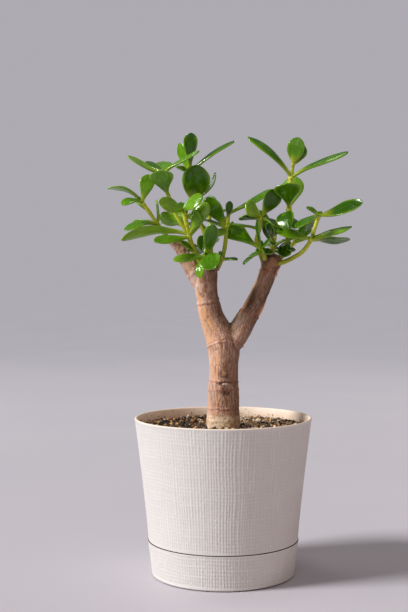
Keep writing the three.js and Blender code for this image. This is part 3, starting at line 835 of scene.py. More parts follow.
def moulded(name, skin, material, voxel):
    """The bodies of a skin melted into one by a voxel remesh."""
    rough = skin.build(name + "_rough", material)
    melt = rough.modifiers.new("melt", "REMESH")
    melt.mode = "VOXEL"
    melt.voxel_size = voxel * MM
    mesh = changed(rough)
    bpy.data.objects.remove(rough)
    mesh.name = name
    return placed(name, mesh)


def vectors(items, field):
    """That field of a mesh's items, three numbers to each."""
    values = np.empty(len(items) * 3, np.float32)
    items.foreach_get(field, values)
    return values.reshape(-1, 3).astype(float)


def set_points(mesh, points):
    mesh.vertices.foreach_set("co", (points * MM).astype(np.float32).ravel())
    mesh.update()


def relaxed(mesh, points, weight, rounds):
    """Points drawn towards the middle of their neighbours, each by its weight."""
    edges = np.empty(len(mesh.edges) * 2, np.int32)
    mesh.edges.foreach_get("vertices", edges)
    a, b = edges.reshape(-1, 2).T
    degree = np.bincount(edges, minlength=len(points))
    for _ in range(rounds):
        total = np.zeros_like(points)
        np.add.at(total, a, points[b])
        np.add.at(total, b, points[a])
        points = points + (total / degree[:, None] - points) * weight[:, None]
    return points


def apart(points, centre, size):
    """Distance from a centre, where 1 is the skin of an ellipsoid of that half size."""
    return np.linalg.norm((points - centre) / np.array(size), axis=1)


class Bark:
    """Where each point of the wood lies on its limb, and the marks that it carries there."""

    def __init__(self, points):
        lines = []
        for number, stations in enumerate(LIMBS):
            fine = eased(stations, REACH_STEP)
            own = np.full(len(fine), number), np.arange(len(fine)) * REACH_STEP
            lines.append((*own, fine[:, :3], fine[:, 3], np.stack(limb_frame(fine), axis=1)))
        limb, reach, centre, radius, frames = [np.concatenate(parts) for parts in zip(*lines)]
        blocks = [points[start : start + BLOCK] for start in range(0, len(points), BLOCK)]
        nearest = np.concatenate(
            [(np.linalg.norm(b[:, None] - centre, axis=2) - radius).argmin(axis=1) for b in blocks]
        )
        offset = np.einsum("ijk,ik->ij", frames[nearest], points - centre[nearest])
        self.points, self.z = points, points[:, 2]
        self.limb = limb[nearest]
        self.height = centre[nearest, 2]  # of the nearest place on the middle line
        self.across = offset[:, 0]
        self.side = self.across / radius[nearest]  # -1 and 1 at a limb's left and right edges
        self.flow = np.stack([*offset[:, :2].T, reach[nearest]], axis=1)
        self.right = self.limb == 1
        self.twig = (self.limb == 2) * self.up(254, 264)

    def up(self, low, high):
        """0 below one height on a limb and 1 above the other."""
        return smoothstep(low, high, self.height)

    def spot(self, centre, size, full=0):
        """1 in the middle share of an ellipsoid of that half size, and 0 outside it."""
        return smoothstep(1, full, apart(self.points, centre, size))

    def wound(self, x, z, size, full=0):
        """A spot on the trunk's front."""
        return self.spot((x, -13, z), size, full) * (self.points[:, 1] < 0)

    def cracks(self):
        """Upright wrinkles: many and fine on the trunk, few on the smooth upper limbs."""
        strength = np.choose(self.limb, [1 - 0.6 * self.up(246, 252), 0.35, 0.5])
        strength = strength * smoothstep(136, 150, self.z)
        wide = 1 - smoothstep(0, 0.16, np.abs(noise(self.flow / (1.5, 1.5, 15), 31)))
        fine = 1 - smoothstep(0, 0.14, np.abs(noise(self.flow / (0.9, 0.9, 9), 32)))
        return np.maximum(wide, 0.6 * fine) * strength

    def rings(self):
        """How far the old leaf rings and scars stand out, and how red they are."""
        wander = 0.7 * noise(self.flow / (5, 5, 9), 36)
        high = red = 0
        for limb, middle, tilt, stand, width, tone in RINGS:
            away = self.height - middle - tilt * self.side + wander
            here = hump(away, width) * (self.limb == limb)
            high, red = high + stand * here, np.maximum(red, tone * here)
        # The collar round the fork is an arch over the front with a red crease above it.
        over = self.z - 212.3 + 5 * ((self.points[:, 0] - 2) / 15.4) ** 2 + wander
        high, red = high + 0.7 * hump(over + 1.6, 1.2), np.maximum(red, 0.9 * hump(over, 0.6))
        high = high - 0.4 * hump(over, 0.6)
        for centre in LEAF_SCARS:
            rim = np.sin(self.spot(centre, (2.6, 3, 2.6)) * math.pi)
            high, red = high + 0.35 * rim, np.maximum(red, 0.7 * rim)
        return high, red

    def rim_light(self):
        """Painted rim light along both edges of the right limb, in the orange of young skin."""
        rim_light = 1.1 * smoothstep(-0.6, -0.95, self.side) + 0.9 * smoothstep(0.6, 0.95, self.side)
        return rim_light * self.right * self.up(222, 238) * patches(self.flow, (3, 3, 12), 43, -0.4, 0.3)

    def orange(self, rim_light):
        """Bright young skin: streaks and flakes on the left, and patches on the thin wood; it also
        carries the painted rim light along the right limb's edges.
        """
        streaks = patches(self.flow, (1.2, 1.2, 20), 37, 0.15, 0.5) * smoothstep(3, -9, self.across)
        flakes = patches(self.flow, (2.2, 2.2, 8), 41, -0.25, 0.3) * smoothstep(0, -0.5, self.side)
        edge = self.up(204, 216) * smoothstep(-0.5, -0.85, self.side)
        thin = self.twig * patches(self.points, (3.2, 3.2, 4.5), 45, -0.5, 0.2)
        crown = self.right * self.up(262, 278) * patches(self.points, 4, 39, -0.3, 0.4)
        left = most(0.8 * streaks, 0.95 * self.up(206, 222) * flakes, 0.8 * edge)
        left = left * (1 - self.right)
        return most(left, 0.85 * thin, np.minimum(0.65 * rim_light, 0.9), 0.3 * crown)

    def peel_and_highlight(self):
        """Skin that peels off the left limb and the twig; on the left limb's lit side its pale
        patches also paint a highlight.
        """
        left = patches(self.points, (2.2, 2.2, 4), 44, 0, 0.3) * smoothstep(0.2, -0.3, self.side)
        left = left * (1 - self.right) * self.up(236, 248)
        twig = self.twig * patches(self.points, (2.4, 2.4, 3.2), 46, 0.05, 0.3)
        return 0.9 * np.maximum(left, twig)

    def shade(self, rim_light):
        """Painted light and shade across the limbs: from 0 on the lit left, painted pale, to 1 on
        the shaded right, painted dark.
        """
        side = np.clip(0.5 + 0.5 * self.side, 0, 1)
        # The right limb's left side takes a painted shadow of the left limb and crown; the rim
        # light and the twig take less painted shade.
        shaded = 0.72 + 0.28 * smoothstep(0, -0.6, self.side)
        side = np.where(self.right & (self.height > 214), np.maximum(side, shaded), side)
        return side * (1 - 0.45 * np.minimum(rim_light, 1)) * (1 - 0.75 * self.twig)

    def marked(self):
        """How far each point is moved out, and the colour layers."""
        crack = self.cracks()
        high, red = self.rings()
        rim_light, peel_and_highlight = self.rim_light(), self.peel_and_highlight()
        # The old wound is a lens-shaped scar over a hollow, with an eye above.
        lens = self.wound(2.6, 172.4, (5, 9, 1.6), 0.4)
        lips = self.wound(1.2, 172.8, (8.5, 9, 2.7), 0.5)
        hollow = self.wound(1.8, 165.2, (7, 9, 6.6), 0.3)
        brow = self.wound(2, 176.5, (6.5, 8, 2.4))
        eye = self.wound(0.8, 183, (2.4, 8, 2.6))
        frown = self.wound(0.4, 181, (7.5, 9, 8), 0.2)
        brown = self.wound(3, 194, (8.5, 9, 18), 0.3)
        cut = self.spot((-9.3, -12.5, 276), (6, 7, 4.8))
        # Painted shade over the front of the right limb's top, under the crown.
        crown_shade = self.spot((37, -5, 287), (9, 9, 3.5))
        chip = self.spot((-35, -6, 281), (3, 6, 2.5))
        # A painted pool of light on the left limb, in orange.
        lit = self.spot((-19.5, -8, 252), (6, 10, 17))
        lit = lit * patches(self.points, (3, 3, 6), 42, -0.5, 0.2)
        blotch = patches(self.points, 1.6, 38, -0.25, 0.45)
        gaps = self.twig * patches(self.points, (2, 2, 3), 47, 0.15, 0.4)

        moved = high - 0.24 * crack + 1.1 * lens - 0.5 * lips - hollow + 0.6 * brow - 0.9 * cut
        moved += 0.5 * noise(self.flow / (7, 7, 16), 33) + 0.2 * noise(self.flow / (3, 3, 6), 34)
        moved += 0.08 * noise(self.flow / (0.8, 0.8, 0.9), 35) + 0.35 * peel_and_highlight

        warm_and_lit = most(np.minimum(1.3 * eye, 1), 0.9 * chip, 0.7 * lit)
        ragged = hollow * (0.55 + 0.35 * smoothstep(164, 167, self.z))
        dark = most(1.5 * cut, 0.8 * crown_shade, np.maximum(ragged, 0.6 * frown) * blotch)
        dark = np.clip(np.maximum(dark, 0.85 * lips * smoothstep(0.6, 0.1, lens)), 0, 1)
        dark = np.maximum(dark, 0.45 * gaps * (1 - peel_and_highlight))
        foot = smoothstep(145.5, 142, self.z + 1.2 * noise(self.points / (4, 4, 2), 40))
        smooth = np.choose(self.limb, [0.62 * self.up(212, 232), self.up(214, 230), 0.15])
        smooth = most(smooth, 0.9 * hollow, 0.75 * frown, 0.45 * brown)
        return moved, {
            "bark": colour(red, crack, warm_and_lit, dark),
            "tone": colour(foot, smooth, np.maximum(lens, peel_and_highlight), self.orange(rim_light)),
            # The last channel of the flow layer carries the painted light and shade.
            "flow": colour(*(self.flow * (1, 1, 0.12) * MM).T, self.shade(rim_light)),
        }


def make_trunk(material):
    """The three limbs as one closed body, smoothed at its forks and marked with bark."""
    skin = Skin()
    for stations in LIMBS:
        skin.add(*tube(limb_rings(eased(stations, LIMB_STEP))))
    wood = moulded("wood", skin, material, BARK_VOXEL)
    mesh = wood.data
    points = vectors(mesh.vertices, "co") / MM
    parting = np.minimum(apart(points, *FORK), apart(points, *JOINT))
    weight = np.maximum(0.12, 0.6 * smoothstep(1, 0.5, parting))
    points = relaxed(mesh, points, weight, SMOOTHING_ROUNDS)
    set_points(mesh, points)
    moved, layers = Bark(points).marked()
    set_points(mesh, points + vectors(mesh.vertex_normals, "vector") * moved[:, None])
    surface(mesh, material, layers)
    return wood


# ------------------------------------------------------------------- shoots

STEM_SIDES = 18
STEM_STEP = 0.9
STEM_END = 1.6  # the length over which a stem's tip is rounded
LINE_STEPS = 40
LEAF_FORM = (LEAF_THICKNESS, 34, 28)  # thickness, points along and points round
END_BUD_FORM = (3.4, 34, 28)
AXIL_BUD_FORM = (3, 16, 16)
LEAF_SQUARENESS = 0.8  # of a blade cut across: 1 is an ellipse


class Stem:
    """A centripetal Catmull-Rom line through its points, with a radius that thins evenly."""

    def __init__(self, points, radii):
        known = np.array(points, float)
        ends = np.vstack([2 * known[0] - known[1], known, 2 * known[-1] - known[-2]])
        spans = np.linalg.norm(np.diff(ends, axis=0), axis=1) ** 0.5
        line = []
        for i in range(len(known) - 1):
            p0, p1, p2, p3 = ends[i : i + 4]
            d0, d1, d2 = spans[i : i + 3]
            t1 = ((p1 - p0) / d0 - (p2 - p0) / (d0 + d1) + (p2 - p1) / d1) * d1
            t2 = ((p2 - p1) / d1 - (p3 - p1) / (d1 + d2) + (p3 - p2) / d2) * d1
            w = np.linspace(0, 1, LINE_STEPS, endpoint=i == len(known) - 2)[:, None]
            bend = (3 * (p2 - p1) - 2 * t1 - t2) * w**2 + (2 * (p1 - p2) + t1 + t2) * w**3
            line.append(p1 + t1 * w + bend)
        self.line = np.concatenate(line)
        spans = np.linalg.norm(np.diff(self.line, axis=0), axis=1)
        self.reach = np.concatenate([[0], np.cumsum(spans)])
        self.length = self.reach[-1]
        self.radii = radii

    def at(self, share):
        reach = np.asarray(share) * self.length
        return np.stack([np.interp(reach, self.reach, axis) for axis in self.line.T], axis=-1)

    def along(self, share):
        share = np.asarray(share)
        return unit(self.at(np.minimum(share + 0.01, 1)) - self.at(np.maximum(share - 0.01, 0)))


def add_stem(skin, stem, nodes, rng, woody):
    """The fleshy stem with a swelling and a thin ring at each pair of leaves."""
    share = np.linspace(0, 1, int(stem.length / STEM_STEP) + 2)
    reach = share * stem.length
    radius = stem.radii[0] + (stem.radii[1] - stem.radii[0]) * share
    line = np.zeros(len(share))
    for node in nodes:
        away = reach - node * stem.length
        radius = radius * (1 + 0.16 * hump(away, 2.2) - 0.05 * hump(away + 2.4, 0.8))
        line = np.maximum(line, hump(away + 2.2, 0.55))
    left = np.minimum((stem.length - reach) / STEM_END, 1)
    radius = radius * np.sqrt(np.clip(1 - (1 - left) ** 2, 0.02, 1))
    angle = turns(STEM_SIDES)
    x, y = np.outer(radius, np.cos(angle)), np.outer(radius, np.sin(angle))
    bumps = 0.06 * noise_grid(rng.integers(1000), x / 1.4, y / 1.4, reach[:, None] / 3.5)
    out = spokes(*square_to(stem.along(share), STEM_FACE), angle)
    rings = stem.at(share)[:, None] + out * (radius[:, None] * (1 + bumps))[:, :, None]
    age = woody * (1 - reach / max(stem.length, 40))
    flow = [np.append(axis.ravel(), (0, 0)) for axis in (x, y)]
    far, aged, ringed = [
        np.append(np.repeat(values, STEM_SIDES), ends)
        for values, ends in ((0.2 * reach, (0, 0)), (age, age[[0, -1]]), (line, (0, 0)))
    ]
    skin.add(
        *tube(rings),
        stem=colour(rng.uniform(), aged, ringed, 1),
        flow=colour(*(axis * MM for axis in (*flow, far)), 1),
    )


def leaf_outline(u, shoulder):
    return np.sin(math.pi * np.clip(u, 0, 1) ** shoulder).clip(0, 1) ** LEAF_FULLNESS


def add_leaf(skin, form, root, age, rng, tip, width, arch, face, shoulder=LEAF_SHOULDER):
    """One fleshy leaf: a narrow petiole that widens into a blade with a blunt, rounded rim."""
    thickness, rows, sides = form
    chord = np.array(tip, float) - root
    length = np.linalg.norm(chord)
    _, up = square_to(unit(chord), face)
    u = np.sin(np.linspace(0, 1, rows) * math.pi / 2) ** 1.15
    bow = arch * 4 * u * (1 - u) + rng.normal() * 0.25 * np.sin(u * math.tau)
    middle = root + chord * u[:, None] + up * bow[:, None]
    along = unit(chord + up * (arch * 4 * (1 - 2 * u))[:, None])
    across, facing = square_to(along, up)
    twist = (rng.normal() * 0.07 * (u - 0.4))[:, None]
    across, facing = (
        across * np.cos(twist) + facing * np.sin(twist),
        facing * np.cos(twist) - across * np.sin(twist),
    )
    slim = min(1, width / LEAF_SLIM_WIDTH)
    stalk = PETIOLE_WIDTH * slim * (1 - 0.25 * u) / 2 * smoothstep(0.9, 0.3, u)
    blade = leaf_outline(u, shoulder) * width / 2
    half = np.maximum((blade**4 + stalk**4) ** 0.25, 0.02)
    thick = thickness * slim / 2 * (1 - LEAF_TIP_THINNING * u**3)
    thick = thick * (0.82 + 0.18 * smoothstep(0.5, 0.1, u))
    thick = np.minimum(thick, half * 0.9 + 0.02)[:, None]
    x, z = [
        np.sign(part) * np.abs(part) ** LEAF_SQUARENESS
        for part in (np.cos(turns(sides)), np.sin(turns(sides)))
    ]
    seed = int(rng.integers(10000))
    cup = rng.uniform(-0.06, 0.09) * width * smoothstep(0.15, 0.6, u)
    fold = rng.uniform(0, 0.35) * smoothstep(0.08, 0.3, u) * smoothstep(1, 0.6, u)
    u, half = u[:, None], half[:, None]
    wave = noise_grid(seed, u * 5, np.sign(x) * 2, 0)
    curl = 0.02 * width * noise_grid(seed + 1, u * 3, np.sign(x) * 2, 0)
    ripple = 0.36 * noise_grid(seed + 2, u * length / 9, half * x / 3, 0.5)
    reach = half * x * (1 + 0.035 * wave * np.abs(x))
    valley = fold[:, None] * hump(x * 3.2, 1) * (z > 0)
    rise = thick * z + (cup[:, None] + curl) * x**2 - valley + ripple
    rings = middle[:, None] + across[:, None] * reach[:, :, None]
    rings = rings + facing[:, None] * rise[:, :, None]
    layers = np.broadcast_arrays(age, u, np.abs(x), np.clip(0.5 + z * 1.6, 0, 1))
    layers = np.stack(layers, axis=2).reshape(-1, 4)
    ends = [(age, 0, 0, 0.5), (age, 1, 0.6, 0.5)]
    skin.add(*tube(rings), leaf=np.concatenate([layers, ends]))


UP = (0, 0, 1)
UP_FRONT = (0, -0.4, 1)
FRONT_UP = (0, -0.8, 0.6)
BACK_UP = (0, 0.8, 0.6)

# Every leafy shoot: its stems, each with its points, its two radii and its leaves. The first
# stem stands in the wood, the next ones branch off it. A leaf is the share of the stem that it
# grows at, its tip, width and arch, the side it faces, and its shoulder if it has its own.
SHOOTS = {
  "shoot_left_tip": [
    ([[-42, -3, 295], [-52, -5, 306], [-60, -7, 317], [-68, -10, 329], [-74, -12, 337]], [2, 1.6], [
      (0.48, [-87, -21, 309], 12, 4, [0, -0.5, 1]), (0.5, [-60, -4, 337], 9, 1, [1, 0.2, 0]),
      (0.48, [-82, 14, 316], 12, 3, UP), (0.75, [-84, 12, 339], 11, 2, UP),
      (0.97, [-102, -18, 346], 11, 5, [0, 0.3, 1]), (0.94, [-66, -9, 359], 13, 3, [0.1, -1, 0]),
      (0.92, [-89, -24, 331], 12, 4, [-0.2, -0.7, 1]),
    ]),
  ],
  "shoot_left_front": [
    ([[-19, -4, 275], [-23, -7, 286], [-30, -10, 303], [-33, -13, 317], [-35, -15, 326]],
      [2.3, 1.8], [
      (0.62, [-89, -26, 300], 14, 8, [-0.1, 0.85, 1]), (0.56, [-60, -34, 299], 13, 1, [0, -0.9, 1]),
      (0.58, [-24, -21, 327], 12, -5, [-0.63, -0.6, -0.1]),
      (0.6, [-14, -16, 334], 14, 2, [-0.1, -0.9, 0.3]), (0.8, [-58, 4, 322], 14, 1, [0, 1, 0.5]),
      (0.88, [-20, -8, 330], 9, 1, [-0.4, 0.3, 1]), (0.98, [-56, -38, 332], 16, 3, [0, -1, 0.5]),
      (0.98, [-18, -32, 338], 18, 4, [-0.4, -0.8, 0.6]),
      (0.3, [-38, -14, 299], 9, 1, [-0.2, -0.5, 0.8]),
    ]),
    ([[-31, -11, 307], [-35, -12, 312], [-43, -13, 325], [-48, -13, 339], [-53, -11, 351],
      [-54, -10, 361]], [1.8, 1.4], [
      (0.62, [-56, -28, 361], 23, -1, [0.2, 0.75, 0.6], SPOON),
      (0.98, [-85, -12, 375], 11, -1, [0.2, -0.5, 1]), (0.98, [-70, 12, 373], 9, 1, [0, -0.3, 1]),
      (0.97, [-55, 20, 373], 17, 0, [0, -0.9, 0.5]), (0.98, [-21, -18, 379], 9, 1, [-0.3, -0.5, 1]),
    ]),
  ],
  "shoot_left_centre": [
    ([[-18, 2, 275], [-16, 6, 289], [-16, 8, 304], [-22, 9, 320], [-28, 8, 339],
      [-30, 8, 352], [-30, 8, 363]], [2.3, 1.8], [
      (0.52, [-15, -2, 335], 11, 1, [-1, -0.3, 0]), (0.52, [-49, 22, 326], 12, 1, UP_FRONT),
      (0.73, [-22, -16, 366], 26, -1, [0.1, 0.85, 0.5], OVAL),
      (0.73, [-7, 2, 362], 11, -5, [-0.8, -0.4, 0.5]), (0.73, [-25, 36, 356], 15, 1, FRONT_UP),
      (0.98, [-29, 4, 398], 14, -1, [0.3, 1, 0.1], SPOON),
      (0.98, [-40, 16, 390], 11, 0, [0.6, 1, 0.2]), (0.98, [10, 8, 391], 12, 3, [-0.4, -0.4, 1]),
      (0.98, [-42, -4, 367], 8, 1, [0.1, 0.3, 1]),
    ]),
  ],
  "shoot_left_right": [
    ([[-6, 0, 274], [-1, 0, 285], [2, -1, 299], [3, -2, 312], [5, -3, 326]], [2.1, 1.7], [
      (0.22, [13, -5, 284], 8, 0, [0, -0.35, 1]), (0.735, [-14, -8, 339], 15, 0, [-0.4, -0.9, 0.2]),
      (0.735, [-17, 12, 320], 10, 1, UP), (0.735, [-5, -18, 304], 12, 1, [-0.3, -1, 0.4]),
      (0.85, [-4, 30, 322], 12, 2, UP_FRONT), (0.9, [6, -6, 336], 7, 0, [0, -1, 0.2]),
      (0.98, [43, 4, 347], 12, -1, [-0.2, -0.5, 1]),
    ]),
  ],
  "rosette_left": [
    ([[-12, -6, 272], [-13, -10, 281], [-15, -12, 288]], [2.4, 2], [
      (0.85, [-20, -27, 267], 10, 5, [-0.5, -0.8, 0.4]),
      (0.85, [-8, -34, 275], 20, 6, [-0.4, -0.5, 0.8]),
      (0.85, [-44, -22, 283], 12, 2, [0, -0.8, 1]), (0.9, [-9, -30, 314], 14, -1, BACK_UP),
      (0.9, [-21, -3, 305], 11, 1, BACK_UP), (0.97, [-13, -11, 296], 4, 0, BACK_UP),
    ]),
  ],
  "shoot_left_back": [
    ([[-11, 3, 273], [-11, 9, 285], [-11, 15, 297], [-11, 20, 311], [-13, 24, 324]], [2, 1.6], [
      (0.6, [-10, 48, 300], 14, 3, [0, 0.5, 1]), (0.6, [-30, 32, 323], 12, 1, UP),
      (0.98, [-12, 42, 344], 13, 0, FRONT_UP), (0.98, [-34, 32, 338], 12, 1, UP),
      (0.98, [4, 36, 331], 12, 1, UP),
    ]),
  ],
  "shoot_left_far": [
    ([[-23, 0, 276], [-26, 7, 285], [-28, 13, 293], [-32, 20, 304], [-37, 26, 315]], [2, 1.6], [
      (0.55, [-58, 20, 303], 12, 1, [0, 0.2, 1]), (0.55, [-22, 40, 290], 12, 2, [0, 0.3, 1]),
      (0.98, [-58, 38, 318], 13, 2, UP), (0.98, [-40, 40, 338], 12, 0, FRONT_UP),
      (0.98, [-30, 52, 318], 13, 2, UP),
    ]),
  ],
  "shoot_right_tall": [
    ([[49, 3, 281], [54, 5, 289], [58, 5, 299], [59, 3, 311], [59, 2, 324], [60, 0, 342],
      [61, 0, 359]], [2.5, 2.2], [
      (0.27, [53, -14, 286], 13, 2, FRONT_UP), (0.54, [57, -28, 310], 17, 9, [-0.4, -0.8, 0.5]),
      (0.54, [63, -18, 311], 12, 3, [0.3, -0.5, 0.8]),
      (0.63, [56, -24, 350], 24, 0, BACK_UP, SPOON),
      (0.63, [66, 26, 361], 20, 0, [-0.1, -0.9, 0.4]), (0.98, [22, 2, 394], 13, 5, [0.3, -0.7, 1]),
      (0.98, [112, -3, 380], 11, 2, [-0.2, -0.6, 1]), (0.2, [62, -12, 291], 9, 1, UP),
    ]),
    ([[61, 0, 356], [62, 0, 364], [63, -1, 372]], [1.8, 1.4], [
      (0.9, [67, -4, 393], 16, -1, [0.2, 1, 0.2], OVAL),
      (0.8, [73, 12, 388], 14, 0, [-0.3, -1, 0.3], OVAL),
    ]),
  ],
  "shoot_right_outer": [
    ([[46, 0, 279], [53, -3, 281], [62, -6, 285], [71, -9, 291], [78, -10, 301],
      [82, -10, 313], [86, -10, 324]], [2.1, 1.7], [
      (0.64, [47, -14, 309], 14, 2, [0, -0.9, 1]),
      (0.64, [115, -8, 313], 11, 0, [-0.2, -0.6, 1], BROAD),
      (0.63, [115, 8, 302], 12, 0, [0, 0.6, 1], BROAD),
      (0.98, [123, -20, 334], 16, -1, [-0.1, -0.7, 0.7], BROAD),
      (0.98, [64, -32, 311], 12, 2, [-0.3, -0.5, 1]), (0.98, [75, -4, 331], 8, 1, [0, -0.4, 1]),
      (0.95, [76, 6, 310], 13, 2, [-0.3, -0.2, 1]),
    ]),
  ],
  "shoot_right_inner": [
    ([[37, 3, 279], [32, 4, 294], [30, 2, 301], [33, -2, 314], [34, -4, 323]], [2.2, 1.7], [
      (0.98, [49, -4, 346], 18, 0, [-0.3, 0.9, 0.4]),
      (0.98, [20, -14, 333], 18, 1, [-0.1, -0.8, 0.6]), (0.95, [14, -10, 320], 11, 1, [0, 0.5, 1]),
      (0.72, [6, -12, 315], 9, 1, [0, -0.2, 1]), (0.95, [51, -14, 311], 12, 2, [0.3, -0.4, 1]),
    ]),
  ],
  "rosette_right": [
    ([[40, -1, 280], [37, -6, 286], [34, -10, 293]], [2.1, 1.9], [
      (0.8, [18, -20, 279], 8, 2, UP), (0.8, [23, -24, 286], 8, 1, UP),
      (0.9, [4, 8, 312], 19, 3, [-0.2, -0.7, 0.6], SPOON),
      (0.9, [30, -15, 319], 6, 1, [-0.8, -0.5, 0]), (0.98, [33, -10, 301], 5, 0, BACK_UP),
      (0.98, [42, -19, 301], 8, 1, [-0.2, -0.6, 0.7]),
    ]),
  ],
  "shoot_right_centre": [
    ([[44, 0, 284], [45, -2, 294], [44, -3, 304]], [2, 1.7], [
      (0.35, [37, -17, 289], 9, 2, FRONT_UP), (0.6, [37, 2, 317], 9, 0, [-0.6, -0.8, 0]),
      (0.9, [41, -21, 316], 10, 1, [-0.3, -0.8, 0.3]),
      (0.98, [51, 4, 317], 10, 0, [0.4, -0.8, 0.3]), (0.5, [54, -17, 301], 8, 1, [0, -0.5, 1]),
    ]),
  ],
  "shoot_right_back": [
    ([[40, 7, 279], [42, 13, 287], [46, 17, 296], [48, 22, 309]], [2.1, 1.7], [
      (0.5, [44, 44, 296], 13, 3, UP), (0.98, [48, 50, 318], 14, 2, UP),
      (0.98, [30, 34, 330], 13, 0, FRONT_UP), (0.98, [70, 34, 316], 12, 1, UP),
    ]),
  ],
  "shoot_right_far": [
    ([[45, 7, 278], [51, 13, 285], [58, 17, 292], [66, 21, 300]], [2.1, 1.7], [
      (0.5, [46, 34, 290], 11, 2, UP), (0.98, [98, 24, 306], 13, 2, UP),
      (0.98, [66, 46, 312], 13, 2, UP), (0.98, [80, 30, 316], 12, 0, FRONT_UP),
    ]),
  ],
}

# How light each shoot's leaves are, in turn: from 0, old and dark, to 9, young and pale. The digits
# also paint light and shade: paler for leaves that catch light or a sheen, darker for leaves in
# shade.
LEAF_SHADES = {
    "shoot_left_tip": "5999774",
    "shoot_left_front": "95689997449266",
    "shoot_left_centre": "782010627",
    "shoot_left_right": "1317414",
    "rosette_left": "747225",
    "shoot_left_back": "42536",
    "shoot_left_far": "53546",
    "shoot_right_tall": "1153733140",
    "shoot_right_outer": "7721360",
    "shoot_right_inner": "19150",
    "rosette_right": "245142",
    "shoot_right_centre": "01050",
    "shoot_right_back": "2435",
    "shoot_right_far": "2543",
}
BUD_AGE = 0.6
CROWDED_BELOW = 312  # tiny leaves sprout at the pairs up to this height
PAIR_GAP = 0.06  # leaves that grow closer than this share of the stem make one pair
BRANCH_AGE = 0.6


def add_bud(skin, stem, rng):
    """The two smallest leaves, folded upwards at the end of a stem."""
    root, along = stem.at(0.97), stem.along(1)
    across, _ = square_to(along, unit(rng.normal(size=3)))
    for out in (-across, across):
        length = rng.uniform(4, 6.5)
        tip = root + along * length + out * rng.uniform(0.8, 1.8)
        blade = (tip, rng.uniform(3, 4.2), 0.5, along * 0.3 - out)
        add_leaf(skin, END_BUD_FORM, root + out * 0.4, BUD_AGE, rng, *blade)


def add_axil_bud(skin, stem, at, rng):
    """Two tiny leaves that open between a stem and the leaves of one of its pairs."""
    along = stem.along(at)
    out, up = square_to(along, unit(rng.normal(size=3)))
    root = stem.at(at) + along * 1.5 + out * (stem.radii[1] - 0.4)
    for side in (-up, up):
        length = rng.uniform(3.5, 6.5)
        tip = root + (along * 0.75 + out * 0.65) * length + side * rng.uniform(0.9, 2)
        blade = (tip, rng.uniform(2.4, 3.6), 0.4, out - side)
        add_leaf(skin, AXIL_BUD_FORM, root + side * 0.3, BUD_AGE, rng, *blade)


def make_shoot(name, stems, leaf_skin, stem_skin, seed):
    """A shoot's leaves as one piece and its stems as another."""
    rng = np.random.default_rng(seed)
    leaves, wood = Skin(), Skin()
    shades = iter(LEAF_SHADES[name])
    for number, (points, radii, grown) in enumerate(stems):
        stem = Stem(points, radii)
        pairs = sorted({at for at, *_ in grown})
        pairs = [n for i, n in enumerate(pairs) if i == 0 or n - pairs[i - 1] > PAIR_GAP]
        add_stem(wood, stem, pairs, rng, BRANCH_AGE if number else 1)
        for at, *blade in grown:
            # The leaf's lightness: its age, with painted light and shade.
            shade = np.clip((int(next(shades)) + rng.uniform(-0.5, 0.5)) / 9, 0, 1)
            add_leaf(leaves, LEAF_FORM, stem.at(at), shade, rng, *blade)
        add_bud(leaves, stem, rng)
        for at in pairs:
            if at < 0.9 and stem.at(at)[2] < CROWDED_BELOW:
                for _ in range(rng.integers(1, 3)):
                    add_axil_bud(leaves, stem, at, rng)
    dress(leaves.build(name + "_leaves", leaf_skin), "foliage", name)
    dress(wood.build(name + "_stem", stem_skin), "foliage", name)


# ----------------------------------------------------------------- assembly

GRIT_SEED = 7
SHOOT_SEED = 100  # of the first shoot, and one more for each that follows

planter = planter_material()
bark = bark_material()
foliage = leaf_material(), stem_material()
dress(make_pot(planter), "planter", "pot")
dress(make_saucer(planter), "planter", "saucer")
dress(make_soil(soil_material()), "soil", "soil")
dress(make_grit(grit_material(), GRIT_SEED), "soil")
dress(make_trunk(bark), "bark", "trunk")
for order, (shoot, stems) in enumerate(SHOOTS.items()):
    make_shoot(shoot, stems, *foliage, SHOOT_SEED + order)

# ------------------------------------------------------------ floor and light

FLOOR_HALF = 30  # metres
FLOOR_DROP = 0.2


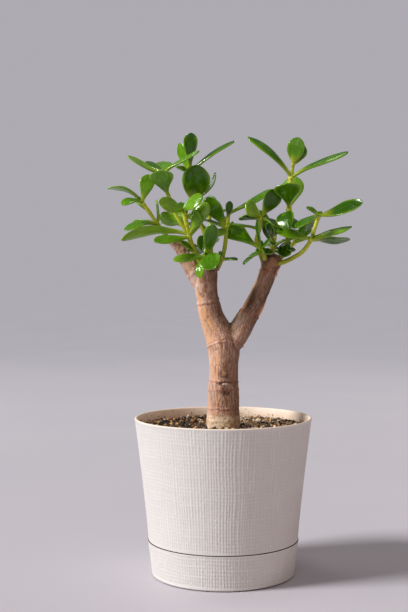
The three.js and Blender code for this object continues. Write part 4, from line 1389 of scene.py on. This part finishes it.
def make_floor():
    """A wide pale sheet just under the saucer."""
    s = Shader("floor", 0.6, 0.3)
    s.base = s.mix(s.cloud(3, 3, 0.3, 0.7), (0.57, 0.515, 0.545), (0.59, 0.53, 0.56))
    mesh = bpy.data.meshes.new("floor")
    sides = ((-1, -1), (1, -1), (1, 1), (-1, 1))
    corners = [(x * FLOOR_HALF, y * FLOOR_HALF, -FLOOR_DROP * MM) for x, y in sides]
    mesh.from_pydata(corners, [], [(0, 1, 2, 3)])
    mesh.materials.append(s.finish())
    floor = placed("floor", mesh)


def light(kind, name, side, power, tint):
    """A light that shines from that side."""
    made = placed(name, bpy.data.lights.new(name, kind))
    made.data.energy = power
    made.data.color = tint
    tilt = math.acos(side[2] / np.linalg.norm(side))
    made.rotation_euler = (0, tilt, math.atan2(side[1], side[0]))
    return made


def lamp(name, place, aim, size, power, tint):
    """A round lamp at a place, turned to that height on the pot's axis."""
    made = light("AREA", name, np.array(place) - (0, 0, aim), power, tint)
    made.location = place
    made.visible_camera = False
    made.data.shape = "DISK"
    made.data.size = size


make_floor()
sun = light("SUN", "key", (-1.574, -0.542, 1.25), 3.6, (0.93, 0.975, 1))
sun.data.angle = math.radians(17)
lamp("fill", (1.8, -0.45, 0.75), 0.2, 1.2, 2.9, (1, 0.64, 0.45))
lamp("front", (-0.4, -1.9, 0.9), 0.15, 1, 3.1, (1, 0.9, 0.83))
lamp("back", (1.3, 1.5, 1.2), 0.2, 1, 4, (1, 0.95, 0.92))
lamp("window", (-1.5, 1.6, 1), 0.25, 0.9, 4, (0.95, 0.98, 1))
lamp("top", (-0.2, 0.2, 2.2), 0.2, 0.5, 3.9, (1, 0.96, 0.93))

world = bpy.data.worlds.new("studio")
world.use_nodes = True
nodes, links = world.node_tree.nodes, world.node_tree.links
# What lights the plant, and what the camera sees behind it.
sky, backdrop = nodes["Background"], nodes.new("ShaderNodeBackground")
for made, tone, strength in ((sky, (0.86, 0.92, 1), 0.18), (backdrop, (0.92, 0.881, 0.963), 0.46)):
    made.inputs["Color"].default_value = (*tone, 1)
    made.inputs["Strength"].default_value = strength
seen = nodes.new("ShaderNodeLightPath").outputs["Is Camera Ray"]
either = nodes.new("ShaderNodeMixShader")
for socket, source in zip(either.inputs, (seen, sky.outputs[0], backdrop.outputs[0])):
    links.new(source, socket)
links.new(either.outputs[0], nodes["World Output"].inputs["Surface"])
bpy.context.scene.world = world
bpy.context.scene.view_settings.view_transform = "Standard"
